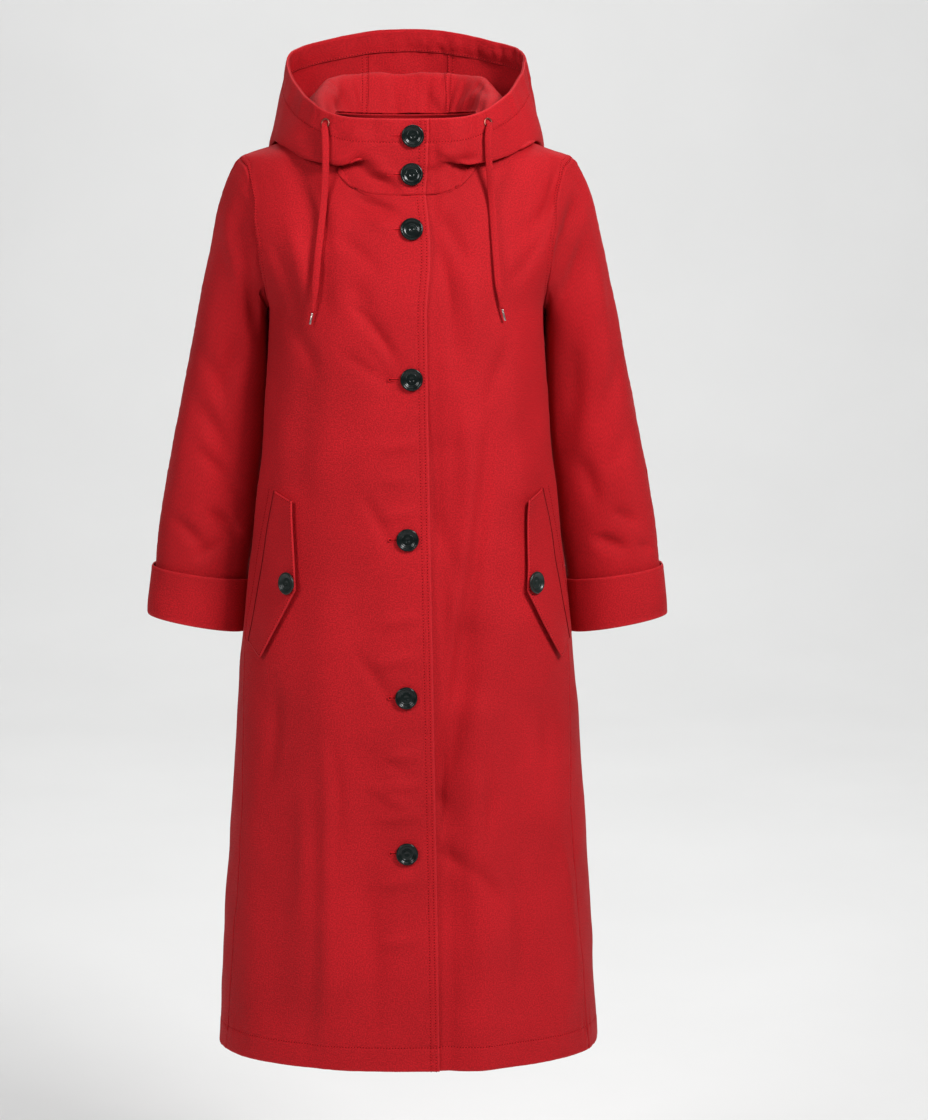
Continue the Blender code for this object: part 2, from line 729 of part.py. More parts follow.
def spline_point(four, t):
    """A point between the middle two of four, on a smooth curve through them."""
    before, start, end, after = four
    leave = (end - before) / 2
    arrive = (after - start) / 2
    return ((2 * t ** 3 - 3 * t ** 2 + 1) * start + (t ** 3 - 2 * t ** 2 + t) * leave
            + (3 * t ** 2 - 2 * t ** 3) * end + (t ** 3 - t ** 2) * arrive)


def hood_line(station, shares):
    """Points up the hood at a station, for shares 0 at the neckline to 1 at the face edge."""
    rings = hood_rings(station)
    padded = np.vstack([2 * rings[0] - rings[1], rings, 2 * rings[-1] - rings[-2]])
    points = []
    for share in shares:
        place = share * (len(rings) - 1)
        base = int(min(place, len(rings) - 2))
        points.append(spline_point(padded[base:base + 4], place - base))
    return np.array(points)


def hood_grid(stations, shares):
    """Outer face of the hood, row by row from the neckline to the face edge, and its normals."""
    turn = 0.04
    rise = 0.008
    points = np.array([hood_line(s, shares) for s in stations]).transpose(1, 0, 2)
    after = np.array([hood_line(s + turn, shares) for s in stations]).transpose(1, 0, 2)
    before = np.array([hood_line(s - turn, shares) for s in stations]).transpose(1, 0, 2)
    above = np.array([hood_line(s, np.minimum(shares + rise, 1.0)) for s in stations])
    below = np.array([hood_line(s, np.maximum(shares - rise, 0.0)) for s in stations])
    up = (above - below).transpose(1, 0, 2)
    return points, unit(np.cross(after - before, up))


def make_hood_side(name, side):
    """A side of the hood, from its lap at centre front to the gusset seam at the back."""
    stations = np.concatenate([front_stations(side), np.arange(7.5, GUSSET_STATION + 0.01, 0.5)])
    shares = np.linspace(0.0, 1.0, HOOD_ROWS + 1)
    outer, out = hood_grid(stations, shares)
    if side > 0:
        outer = outer + out * underlap_drop(outer[..., 0], outer[..., 2])[..., None] * (
            outer[..., 1:2] < 0)
    outer = mirrored(outer, side)
    out = mirrored(out, side)
    wall(name, outer, outer - out * CLOTH)


def make_hood_centre():
    """The gusset between the two sides of the hood."""
    stations = np.linspace(GUSSET_STATION, ALL_STATIONS - GUSSET_STATION, 5)
    outer, out = hood_grid(stations, np.linspace(0.0, 1.0, HOOD_ROWS + 1))
    wall("hood_centre", outer, outer - out * CLOTH)


def face_share(station, depth):
    """The share up the hood at which the face edge is this far away along the cloth."""
    shares = np.linspace(1.0, 0.75, 101)
    line = hood_line(station, shares)
    run = np.concatenate([[0.0], np.cumsum(np.linalg.norm(np.diff(line, axis=0), axis=1))])
    return float(np.interp(depth, run, shares))


def make_channel():
    """The drawstring channel: a band inside the face edge, from front to front round the back."""
    stations = np.arange(CHANNEL_STATION, ALL_STATIONS - CHANNEL_STATION + 0.01, 0.5)
    faces = []
    outs = []
    for station in stations:
        shares = np.linspace(face_share(station, CHANNEL_DEPTH), 1.0, 3)
        face, out = hood_grid(np.array([station]), shares)
        faces.append(face[:, 0])
        outs.append(out[:, 0])
    out = np.array(outs).transpose(1, 0, 2)
    outer = np.array(faces).transpose(1, 0, 2) - out * (CLOTH + CHANNEL_GAP)
    wall("hood_channel", outer, outer - out * CHANNEL_CLOTH)


def make_flap(name):
    """A slanted pocket flap, lying on the front and standing off a little at its free edge."""
    corners = dict(zip(FLAP_CORNERS, FLAPS[name]))
    rows = np.linspace(0.0, 1.0, 9)
    corners = {corner: np.array(place) for corner, place in corners.items()}
    sewn = [between(corners["seam_top"], corners["seam_low"], t) for t in rows]
    free = []
    for t in rows:
        if t <= FLAP_BEND:
            free.append(between(corners["free_top"], corners["free_corner"], t / FLAP_BEND))
        else:
            t = (t - FLAP_BEND) / (1 - FLAP_BEND)
            free.append(between(corners["free_corner"], corners["free_tip"], t))
    sewn = np.array(sewn)
    free = np.array(free)
    across = np.linspace(0.0, 1.0, 4)
    sewn_angle = angle_at(sewn[:, 0], sewn[:, 1])
    free_angle = angle_at(free[:, 0], free[:, 1])
    angles = between(sewn_angle[:, None], free_angle[:, None], across[None, :])
    heights = between(sewn[:, 1][:, None], free[:, 1][:, None], across[None, :])
    lift = FLAP_LIFT + DOUBLE_CLOTH + FLAP_FREE_LIFT * across[None, :] ** 2 + 0 * angles
    outer, out = cloth_face(angles, heights, lift)
    wall(name, outer, outer - out * DOUBLE_CLOTH)


def facing(origin, out):
    """A placement whose +Z points out of the cloth and whose +Y is as upright as it can be."""
    z_axis = Vector(out).normalized()
    x_axis = Vector((0.0, 0.0, 1.0)).cross(z_axis).normalized()
    y_axis = z_axis.cross(x_axis)
    turn = Matrix((x_axis, y_axis, z_axis)).transposed().to_4x4()
    return Matrix.Translation(Vector(origin)) @ turn


def turned(name, profile, sides, finish_name):
    """A round piece, spun about +Z from a profile of radius and height."""
    bm = bmesh.new()
    verts = [bm.verts.new((radius, 0.0, height)) for radius, height in profile]
    edges = [bm.edges.new(pair) for pair in zip(verts, verts[1:])]
    if profile[0][0] > 0:
        edges.append(bm.edges.new((verts[-1], verts[0])))
    bmesh.ops.spin(bm, geom=verts + edges, cent=(0, 0, 0), axis=(0, 0, 1), angle=2 * math.pi,
                   steps=sides, use_merge=True)
    bmesh.ops.remove_doubles(bm, verts=bm.verts, dist=0.00001)
    return mesh_object(name, bm, finish_name)


def make_front_button(name, x, z):
    """A front button, on the right front or on the front of the hood above the neckline."""
    if z > NECKLINE[0][2]:
        shares = np.linspace(0.0, 1.0, 81)
        station = x / HOOD_STATION_WIDTH
        points, outs = hood_grid(np.array([station]), shares)
        row = int(np.argmin(np.abs(points[:, 0, 2] - z)))
        place, out = points[row, 0], outs[row, 0]
    else:
        place, out = cloth_face(np.array(angle_at(x, z)), np.array(z))
    button = turned(name, BUTTON_PROFILE, BUTTON_SIDES, "button")
    button.matrix_world = facing(place + out * BUTTON_LIFT, out)


def make_pocket_button(name, x, z):
    """A pocket button, sewn to the middle of its flap."""
    place, out = cloth_face(np.array(angle_at(x, z)), np.array(z))
    stand = FLAP_LIFT + DOUBLE_CLOTH + FLAP_FREE_LIFT * POCKET_LIFT_SHARE + BUTTON_LIFT
    button = turned(name, BUTTON_PROFILE, BUTTON_SIDES, "button")
    button.matrix_world = facing(place + out * stand, out)


def hood_front_place(x, z):
    """The place and outward direction of the hood's front wall at a place of the front view."""
    shares = np.linspace(0.70, 1.0, 61)
    stations = np.linspace(2.0, 4.5, 101)
    points, outs = hood_grid(stations, shares)
    away = np.hypot(points[..., 0] - abs(x), points[..., 2] - z)
    row, col = np.unravel_index(int(np.argmin(away)), away.shape)
    side = 1.0 if x > 0 else -1.0
    return mirrored(points[row, col], side), mirrored(outs[row, col], side)


def make_eyelet(name, x, z):
    """A thin metal ring on the hood, round the hole that the drawstring leaves by."""
    place, out = hood_front_place(x, z)
    ring = turned(name, EYELET_PROFILE, EYELET_SIDES, "metal")
    ring.matrix_world = facing(place + out * METAL_GAP, out)


def smooth_route(route, step):
    """Points at about the given step on a smooth curve through a route's own points."""
    route = np.array(route)
    padded = np.vstack([2 * route[0] - route[1], route, 2 * route[-1] - route[-2]])
    fine = []
    for i in range(len(route) - 1):
        for t in np.linspace(0.0, 1.0, 20, endpoint=False):
            fine.append(spline_point(padded[i:i + 4], t))
    fine.append(route[-1])
    fine = np.array(fine)
    steps = np.linalg.norm(np.diff(fine, axis=0), axis=1)
    run = np.concatenate([[0.0], np.cumsum(steps)])
    wanted = np.linspace(0.0, run[-1], max(2, round(run[-1] / step) + 1))
    return np.stack([np.interp(wanted, run, fine[:, axis]) for axis in range(3)], axis=-1)


def make_cord(name, route):
    """A drawstring of the coat's own cloth, as a plain round tube along its route."""
    points = smooth_route(route, CORD_STEP)
    line = bpy.data.curves.new(name, "CURVE")
    line.dimensions = "3D"
    line.bevel_depth = CORD_DIAMETER / 2
    line.bevel_resolution = 2
    line.use_fill_caps = True
    spline = line.splines.new("POLY")
    spline.points.add(len(points) - 1)
    for place, point in zip(spline.points, points):
        place.co = (*point, 1.0)
    line.materials.append(finish("drawstring"))
    cord = bpy.data.objects.new(name, line)
    bpy.context.scene.collection.objects.link(cord)


def make_tip(name, cord_end, tip_end):
    """The slim metal tip at the end of a drawstring."""
    start = Vector(cord_end)
    along = (Vector(tip_end) - start).normalized()
    tip = turned(name, TIP_PROFILE, TIP_SIDES, "metal")
    turn = Vector((0.0, 0.0, 1.0)).rotation_difference(along).to_matrix().to_4x4()
    tip.matrix_world = Matrix.Translation(start + along * METAL_GAP) @ turn


def make_coat():
    """All the pieces, in the order in which they would be cut and sewn."""
    for side_name, side in (("right", -1), ("left", 1)):
        make_front("front_" + side_name, side)
        make_sleeve(side_name, side)
        make_cuff("cuff_" + side_name, side)
        make_hood_side("hood_" + side_name, side)
        make_flap("flap_" + side_name)
    make_back()
    make_hood_centre()
    make_channel()
    for name, x, z in BUTTONS:
        make_front_button(name, x, z)
    for name, x, z in POCKET_BUTTONS:
        make_pocket_button(name, x, z)
    for side_name, cord in CORDS.items():
        make_eyelet("eyelet_" + side_name, *cord["eyelet"])
        make_cord("cord_" + side_name, cord["route"])
        make_tip("aglet_" + side_name, cord["route"][-1], cord["tip"])


clear_scene()
make_coat()
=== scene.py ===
# %% [markdown]
# # A long hooded coat in red cotton twill
#
# The coat is worn by nobody: its cloth keeps the shape of a body, like a coat on an invisible
# dress form. It is cut from flat pieces, and this script makes the same ones: two fronts, a back,
# four half sleeves, two cuffs, a hood in three parts with a channel inside its edge, and two
# pocket flaps. The drawstrings are made before them, and the buttons, eyelets, stitches and
# buttonholes after.
#
# The solid model is loaded first. It gives the frame in which every piece is placed.

# %% Load the solid model
import math

import bmesh
import bpy
import numpy as np
from mathutils import Matrix, Vector


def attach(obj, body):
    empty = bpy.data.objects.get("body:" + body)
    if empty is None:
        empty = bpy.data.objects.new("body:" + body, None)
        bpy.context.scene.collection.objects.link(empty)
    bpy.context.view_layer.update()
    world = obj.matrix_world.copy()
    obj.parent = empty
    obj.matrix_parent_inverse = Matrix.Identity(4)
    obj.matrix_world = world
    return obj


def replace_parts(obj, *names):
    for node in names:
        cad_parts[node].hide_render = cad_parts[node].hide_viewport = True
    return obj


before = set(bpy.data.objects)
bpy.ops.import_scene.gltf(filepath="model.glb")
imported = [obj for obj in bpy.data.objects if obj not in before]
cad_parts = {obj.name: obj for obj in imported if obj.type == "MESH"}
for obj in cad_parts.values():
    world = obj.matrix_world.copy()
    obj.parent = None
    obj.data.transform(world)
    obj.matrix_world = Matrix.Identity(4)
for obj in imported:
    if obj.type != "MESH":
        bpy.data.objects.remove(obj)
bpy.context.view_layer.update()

# %% [markdown]
# ## The camera
#
# A picture of clothing is usually taken with a long lens from chest height, so that nothing looks
# stretched. This camera stands 4 m in front of the coat with a 105 mm lens and looks down a
# little. It is made before anything else, because what follows is judged through it.

# %% Camera
CAMERA_PLACE = (0.0705, -4.0, 0.05)
CAMERA_TILT = 8.21

lens = bpy.data.cameras.new("camera")
lens.lens = 105.0
lens.sensor_width = 36.0
camera = bpy.data.objects.new("camera", lens)
camera.location = CAMERA_PLACE
camera.rotation_euler = (math.radians(90 - CAMERA_TILT), 0.0, 0.0)
bpy.context.scene.collection.objects.link(camera)
bpy.context.scene.camera = camera
print("camera at", CAMERA_PLACE)

# %% [markdown]
# ## Small tools for shapes
#
# A garment has few straight lines, so its sizes are kept in short tables, and a smooth curve is
# read through each table. Two kinds of curve are enough: one that never overshoots between two
# rows, for widths and depths, and one that runs through points in space, for cords and folds.

# %% Curves through tables and points
def monotone(keys, values):
    """A smooth curve through the rows of a table that never overshoots between two of them."""
    keys = np.array(keys, float)
    values = np.array(values, float)
    step = np.diff(keys)
    rise = np.diff(values) / step
    slope = np.zeros_like(values)
    slope[0] = rise[0]
    slope[-1] = rise[-1]
    for i in range(1, len(keys) - 1):
        if rise[i - 1] * rise[i] > 0:
            slope[i] = 2 * rise[i - 1] * rise[i] / (rise[i - 1] + rise[i])

    def read(at):
        at = np.clip(np.asarray(at, float), keys[0], keys[-1])
        i = np.clip(np.searchsorted(keys, at, side="right") - 1, 0, len(step) - 1)
        t = (at - keys[i]) / step[i]
        start = (1 + 2 * t) * (1 - t) ** 2 * values[i] + t * (1 - t) ** 2 * step[i] * slope[i]
        end = t * t * (3 - 2 * t) * values[i + 1] + t * t * (t - 1) * step[i] * slope[i + 1]
        return start + end

    return read


def readers(names, table):
    """A smooth curve for each column of a table against its first column."""
    columns = list(zip(*table))
    return {name: monotone(columns[0], columns[i + 1]) for i, name in enumerate(names[1:])}


def spline_point(before, start, end, after, t):
    """A point between start and end, on a smooth curve through all four."""
    leave = (end - before) / 2
    arrive = (after - start) / 2
    return ((2 * t ** 3 - 3 * t ** 2 + 1) * start + (t ** 3 - 2 * t ** 2 + t) * leave
            + (3 * t ** 2 - 2 * t ** 3) * end + (t ** 3 - t ** 2) * arrive)


def smooth_step(value):
    """0 below 0, 1 above 1, and a soft ramp between."""
    t = np.clip(value, 0.0, 1.0)
    return t * t * (3 - 2 * t)


def bell(distance, width):
    """1 at no distance, dying away on both sides over about one width."""
    return np.exp(-(distance / width) ** 2)


def between(a, b, share):
    """The value at a share of the way from a to b."""
    return a + (b - a) * share


def unit(vectors):
    """The same directions at length one."""
    return vectors / np.linalg.norm(vectors, axis=-1, keepdims=True)


def run_along(points, axis=0):
    """How far along a line of points, or along each line of a grid, every point lies."""
    steps = np.linalg.norm(np.diff(points, axis=axis), axis=-1)
    first = np.zeros_like(np.take(steps, [0], axis=axis))
    return np.concatenate([first, np.cumsum(steps, axis=axis)], axis=axis)


def resampled(points, step):
    """Points at an even step along a line of points."""
    points = np.asarray(points, float)
    run = run_along(points)
    wanted = np.linspace(0.0, run[-1], max(2, round(run[-1] / step) + 1))
    return np.stack([np.interp(wanted, run, points[:, axis]) for axis in range(3)], axis=-1)


def smooth_route(route, step):
    """Points at an even step on a smooth curve through a route's own points."""
    route = np.array(route)
    padded = np.vstack([2 * route[0] - route[1], route, 2 * route[-1] - route[-2]])
    fine = [spline_point(*padded[i:i + 4], t)
            for i in range(len(route) - 1) for t in np.linspace(0.0, 1.0, 20, endpoint=False)]
    return resampled(fine + [route[-1]], step)


# %% [markdown]
# ## Finishes
#
# Twill is woven so that each thread steps over one place further along, which draws fine slanted
# ridges. The pattern has to follow the cloth and not the room, so it is read from each piece's own
# UV map, which is measured in metres of cloth. A second, slow noise gives the unevenness that
# dyed cotton has. An attribute marks turned edges, where the colour is paler: partly the rub of
# wear, partly a painted highlight where the edge catches the light.

# %% Node helpers
def new_material(name, colour, roughness, metallic=0.0):
    """A material with its constant values on the shader's own sockets."""
    material = bpy.data.materials.new(name)
    material.use_nodes = True
    shader = material.node_tree.nodes["Principled BSDF"]
    shader.inputs["Base Color"].default_value = (*colour, 1.0)
    shader.inputs["Roughness"].default_value = roughness
    shader.inputs["Metallic"].default_value = metallic
    return material, material.node_tree.nodes, material.node_tree.links, shader


def noise(nodes, links, vector, scale, detail=2.0):
    """A noise texture on the given coordinates."""
    node = nodes.new("ShaderNodeTexNoise")
    node.inputs["Scale"].default_value = scale
    node.inputs["Detail"].default_value = detail
    links.new(vector, node.inputs["Vector"])
    return node.outputs["Fac"]


def ramp(nodes, links, factor, low, high, dark, light):
    """Colours from dark to light as the factor goes from low to high."""
    node = nodes.new("ShaderNodeValToRGB")
    node.color_ramp.elements[0].position = low
    node.color_ramp.elements[0].color = (*dark, 1.0)
    node.color_ramp.elements[1].position = high
    node.color_ramp.elements[1].color = (*light, 1.0)
    links.new(factor, node.inputs["Fac"])
    return node.outputs["Color"]


def multiply(nodes, links, first, second, amount=1.0):
    """Two colours multiplied."""
    node = nodes.new("ShaderNodeMix")
    node.data_type = "RGBA"
    node.blend_type = "MULTIPLY"
    node.inputs["Factor"].default_value = amount
    links.new(first, node.inputs["A"])
    links.new(second, node.inputs["B"])
    return node.outputs["Result"]


def bump(nodes, links, shader, layers):
    """Bumps one on top of another: height output, depth in metres and strength of each."""
    normal = None
    for height, depth, strength in layers:
        node = nodes.new("ShaderNodeBump")
        node.inputs["Distance"].default_value = depth
        node.inputs["Strength"].default_value = strength
        links.new(height, node.inputs["Height"])
        if normal is not None:
            links.new(normal, node.inputs["Normal"])
        normal = node.outputs["Normal"]
    links.new(normal, shader.inputs["Normal"])


# %% Twill
TWILL_RED = (0.530, 0.0062, 0.0125)
TWILL_DARK = (0.430, 0.0042, 0.0088)
TWILL_WORN_AND_HIGHLIGHT = (0.600, 0.0250, 0.0330)
TWILL_RIDGE = 0.00075
TWILL_SLANT = 63.0
TWILL_SHINE = 0.16


def twill(name, red, dark, sheen):
    """Red cotton twill, with its slanted ridges on the cloth's own UV map."""
    material, nodes, links, shader = new_material(name, red, 0.74)
    shader.inputs["Sheen Weight"].default_value = sheen
    shader.inputs["Sheen Roughness"].default_value = 0.45
    shader.inputs["Sheen Tint"].default_value = (1.0, 0.42, 0.40, 1.0)
    shader.inputs["Specular IOR Level"].default_value = TWILL_SHINE
    cloth = nodes.new("ShaderNodeUVMap")
    cloth.uv_map = "cloth"
    slanted = nodes.new("ShaderNodeMapping")
    slanted.inputs["Rotation"].default_value = (0.0, 0.0, math.radians(TWILL_SLANT))
    links.new(cloth.outputs["UV"], slanted.inputs["Vector"])
    ridges = nodes.new("ShaderNodeTexWave")
    ridges.inputs["Scale"].default_value = 0.314 / TWILL_RIDGE
    ridges.inputs["Distortion"].default_value = 1.5
    ridges.inputs["Detail"].default_value = 2.0
    ridges.inputs["Detail Scale"].default_value = 2.0
    links.new(slanted.outputs["Vector"], ridges.inputs["Vector"])
    threads = noise(nodes, links, cloth.outputs["UV"], 2600.0, 3.0)
    place = nodes.new("ShaderNodeTexCoord").outputs["Object"]
    clouds = noise(nodes, links, place, 9.0, 4.0)
    slubs = noise(nodes, links, cloth.outputs["UV"], 560.0, 4.0)
    base = ramp(nodes, links, clouds, 0.30, 0.72, dark, red)
    flecks = ramp(nodes, links, slubs, 0.40, 0.60, (0.66, 0.66, 0.66), (1.0, 1.0, 1.0))
    grain = ramp(nodes, links, ridges.outputs["Fac"], 0.0, 0.8, (0.74, 0.74, 0.74), (1.0, 1.0, 1.0))
    colour = multiply(nodes, links, multiply(nodes, links, base, flecks), grain)
    # Turned edges are mixed towards a paler red: partly wear, partly a painted highlight.
    wear_and_highlight = nodes.new("ShaderNodeAttribute")
    wear_and_highlight.attribute_name = "wear_and_highlight"
    rubbed_and_highlight = nodes.new("ShaderNodeMix")
    rubbed_and_highlight.data_type = "RGBA"
    rubbed_and_highlight.inputs["B"].default_value = (*TWILL_WORN_AND_HIGHLIGHT, 1.0)
    links.new(wear_and_highlight.outputs["Fac"], rubbed_and_highlight.inputs["Factor"])
    links.new(colour, rubbed_and_highlight.inputs["A"])
    links.new(rubbed_and_highlight.outputs["Result"], shader.inputs["Base Color"])
    bump(nodes, links, shader, ((ridges.outputs["Fac"], 0.00025, 0.45),
                                (threads, 0.00020, 0.35), (slubs, 0.0006, 0.55)))
    return material


coat_twill = twill("coat_twill", TWILL_RED, TWILL_DARK, 0.030)
cord_twill = twill("cord_twill", TWILL_RED, TWILL_DARK, 0.030)
print("twill ridges", TWILL_RIDGE * 1000, "mm apart")

# %% [markdown]
# The sewing thread is nearly the cloth's own red. A dark red is painted shade: it stands for the
# shade in needle holes, in the slits of buttonholes and along the pocket seams. The buttons are
# dark polished resin, which is never quite one colour. The cord tips are a pale metal and the
# eyelets a redder one, both a little uneven.

# %% Thread, button and metal
def plain_finish(name, colour, other, roughness, metallic, scale, depth, shine=0.5):
    """A finish with a slow change of colour and a fine uneven surface."""
    material, nodes, links, shader = new_material(name, colour, roughness, metallic)
    shader.inputs["Specular IOR Level"].default_value = shine
    place = nodes.new("ShaderNodeTexCoord").outputs["Object"]
    clouds = noise(nodes, links, place, scale, 4.0)
    links.new(ramp(nodes, links, clouds, 0.35, 0.70, other, colour), shader.inputs["Base Color"])
    bump(nodes, links, shader, ((noise(nodes, links, place, scale * 9, 3.0), depth, 0.3),))
    return material


thread_red = plain_finish("thread_red", (0.560, 0.0100, 0.0160), (0.480, 0.0070, 0.0120),
                          0.75, 0.0, 300.0, 0.0002, shine=0.12)
# Painted shade: dark spots and lines where needle holes, slits and seams lie in shade.
painted_shade = plain_finish("painted_shade", (0.130, 0.0020, 0.0032), (0.090, 0.0015, 0.0024),
                           0.85, 0.0, 300.0, 0.0002, shine=0.08)
resin = plain_finish("button_resin", (0.0032, 0.0052, 0.0050), (0.0055, 0.0088, 0.0082),
                     0.20, 0.0, 90.0, 0.000002, shine=0.22)
pocket_resin = plain_finish("pocket_resin", (0.0120, 0.0180, 0.0160), (0.0070, 0.0110, 0.0095),
                            0.30, 0.0, 130.0, 0.00002, shine=0.30)
metal = plain_finish("tip_metal", (0.62, 0.50, 0.47), (0.50, 0.40, 0.38),
                     0.28, 1.0, 260.0, 0.00003)
eyelet_metal = plain_finish("eyelet_metal", (0.36, 0.115, 0.090), (0.24, 0.070, 0.055),
                            0.34, 1.0, 260.0, 0.00003)

# %% [markdown]
# ## From a grid to a piece of cloth
#
# Every cloth piece starts as a flat grid, which is how cloth comes. Its points are then moved to
# where the piece hangs. The grid keeps rows and columns, so distances along the cloth are easy to
# measure: they become the UV map, and they say where the stitching goes.

# %% Grids moved onto a form
def placed(name, mesh, material):
    """Link a finished mesh as an object, with its finish and the body that it rides on."""
    mesh.materials.append(material)
    piece = bpy.data.objects.new(name, mesh)
    bpy.context.scene.collection.objects.link(piece)
    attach(piece, "root")
    return piece


def mesh_from(bm, name):
    """A smooth shaded mesh from a bmesh, which is freed."""
    mesh = bpy.data.meshes.new(name)
    bm.to_mesh(mesh)
    bm.free()
    mesh.shade_smooth()
    return mesh


def grid_mesh(name, points, outward, wear_and_highlight):
    """A flat grid whose points are moved to the given ones, with its UV map in metres."""
    rows, columns = points.shape[:2]
    bm = bmesh.new()
    bmesh.ops.create_grid(bm, x_segments=columns - 1, y_segments=rows - 1, size=1.0)
    mesh = mesh_from(bm, name)
    flat = np.empty(len(mesh.vertices) * 3)
    mesh.vertices.foreach_get("co", flat)
    across = np.rint((flat[0::3] + 1) / 2 * (columns - 1)).astype(int)
    up = np.rint((flat[1::3] + 1) / 2 * (rows - 1)).astype(int)
    mesh.vertices.foreach_set("co", points[up, across].ravel())
    corner = np.empty(len(mesh.loops), dtype=np.int32)
    mesh.loops.foreach_get("vertex_index", corner)
    lengths = np.stack([run_along(points, axis=1), run_along(points, axis=0)], axis=-1)
    uv = mesh.uv_layers.new(name="cloth")
    uv.data.foreach_set("uv", lengths[up, across][corner].ravel())
    # Paler turned edges: partly wear, partly a painted highlight.
    wear_and_highlight_layer = mesh.attributes.new("wear_and_highlight", "FLOAT", "POINT")
    wear_and_highlight_layer.data.foreach_set("value", wear_and_highlight[up, across].ravel())
    middle = mesh.polygons[len(mesh.polygons) // 2]
    nearest = outward[up[middle.vertices[0]], across[middle.vertices[0]]]
    if Vector(nearest).dot(middle.normal) < 0:
        mesh.flip_normals()
    mesh.update()
    return mesh


def thickened(piece, thickness):
    """Give a sheet of cloth its thickness, inwards."""
    wall = piece.modifiers.new("cloth", "SOLIDIFY")
    wall.thickness = thickness
    wall.offset = -1.0


# %% [markdown]
# Rows and columns stand close together near an edge that is turned and stitched, where the cloth
# has small ridges and grooves, and further apart on the plain cloth between.

# %% Graded spacing
FINE_STEP = 0.0014
COARSE_STEP = 0.0048


def graded(length, turned_start=0.0, turned_end=0.0):
    """Shares along a length, with fine steps in the turned part at its start and its end."""
    def steps(reach):
        return np.arange(0.0, reach, FINE_STEP) if reach > 0 else np.array([0.0])

    start = steps(turned_start)
    end = length - steps(turned_end)[::-1]
    count = max(2, int(math.ceil((end[0] - start[-1]) / COARSE_STEP)))
    middle = np.linspace(start[-1], end[0], count + 1)[1:-1]
    return np.concatenate([start, middle, end]) / length


# %% [markdown]
# ## Relief of sewn cloth
#
# What makes sewn cotton look sewn is small. A turned edge is three layers thick, so it stands up
# to its row of stitches, and the stitches pull a narrow groove. Along every seam the thread is a
# little shorter than the cloth, which gathers it into small ripples. On the plain cloth there are
# long soft folds, listed in the tables further down, and a faint unevenness everywhere.

# %% Stitched edges, ripples and folds
def stitched_edge(distance, stitch_at, proud=0.0004, groove=0.0006):
    """Height of a turned edge: proud up to its stitches, a groove under them, and a soft roll."""
    ridge = proud * (1 - smooth_step((distance - stitch_at) / 0.003))
    dip = -groove * bell(distance - stitch_at, 0.0014)
    roll = -0.0006 * bell(distance, 0.0012)
    return ridge + dip + roll


def pressed_seam(distance):
    """Height beside a plain seam: the cloth dips into it."""
    return -0.0007 * bell(distance, 0.0014) + 0.0003 * bell(distance, 0.006)


def ripple(along, seed):
    """Small uneven ripples along a seam, between -1 and 1."""
    random = np.random.default_rng(seed)
    total = 0 * along
    for wave in (0.0085, 0.0130, 0.0190, 0.0310):
        phase = random.uniform(0, 2 * np.pi)
        drift = np.sin(along / random.uniform(0.06, 0.11) + random.uniform(0, 6))
        total = total + np.sin(along * 2 * np.pi / wave + phase + 1.3 * drift)
    return total / 4


def pucker(distance, along, seed, depth=0.0004, reach=0.011):
    """Ripples that die away with the distance from a seam."""
    return depth * bell(distance, reach) * ripple(along, seed)


def uneven(points, seed, size, depth):
    """Slow bumps in space, for the unevenness of cloth that has been worn."""
    random = np.random.default_rng(seed)
    total = np.zeros(points.shape[:-1])
    for _ in range(9):
        direction = unit(random.normal(size=3) * np.array([1.0, 0.8, 0.45]))
        wave = size * random.uniform(0.6, 1.7)
        total = total + np.sin(points @ direction * 2 * np.pi / wave + random.uniform(0, 6.3))
    return depth * total / 3


FOLD_COLUMNS = ("from_x", "from_z", "to_x", "to_z", "half_width", "height")
CREASE_STRENGTH = 3.0


def fold_height(x, z, folds, tapered=False):
    """How far folds push the cloth out at a place of the front or back view.

    Tapered ones are bowed a little, stronger in the middle and weaker at both ends.
    """
    total = 0 * x
    for row in folds:
        fold = dict(zip(FOLD_COLUMNS, row))
        run_x = fold["to_x"] - fold["from_x"]
        run_z = fold["to_z"] - fold["from_z"]
        from_x = x - fold["from_x"]
        from_z = z - fold["from_z"]
        share = np.clip((from_x * run_x + from_z * run_z) / (run_x ** 2 + run_z ** 2), 0.0, 1.0)
        bow = 0.04 * min(math.hypot(run_x, run_z), 0.15) * 4 * share * (1 - share)
        bow = bow if tapered else 0.0
        away = np.hypot(from_x - share * run_x - bow, from_z - share * run_z)
        strength = CREASE_STRENGTH * (0.2 + 0.8 * np.sin(np.pi * share)) if tapered else 1.0
        total = total + fold["height"] * strength * bell(away, fold["half_width"])
    return total


# %% [markdown]
# ## Drawstrings
#
# Each drawstring is a flat tube of the coat's own twill, stitched along one side. It leaves the
# hood through a metal eyelet, bends over it and hangs down the chest, where it ends in a slim
# metal tip. A tube that is bent from a grid suits it better than a round curve, because its width
# has to narrow towards both ends.

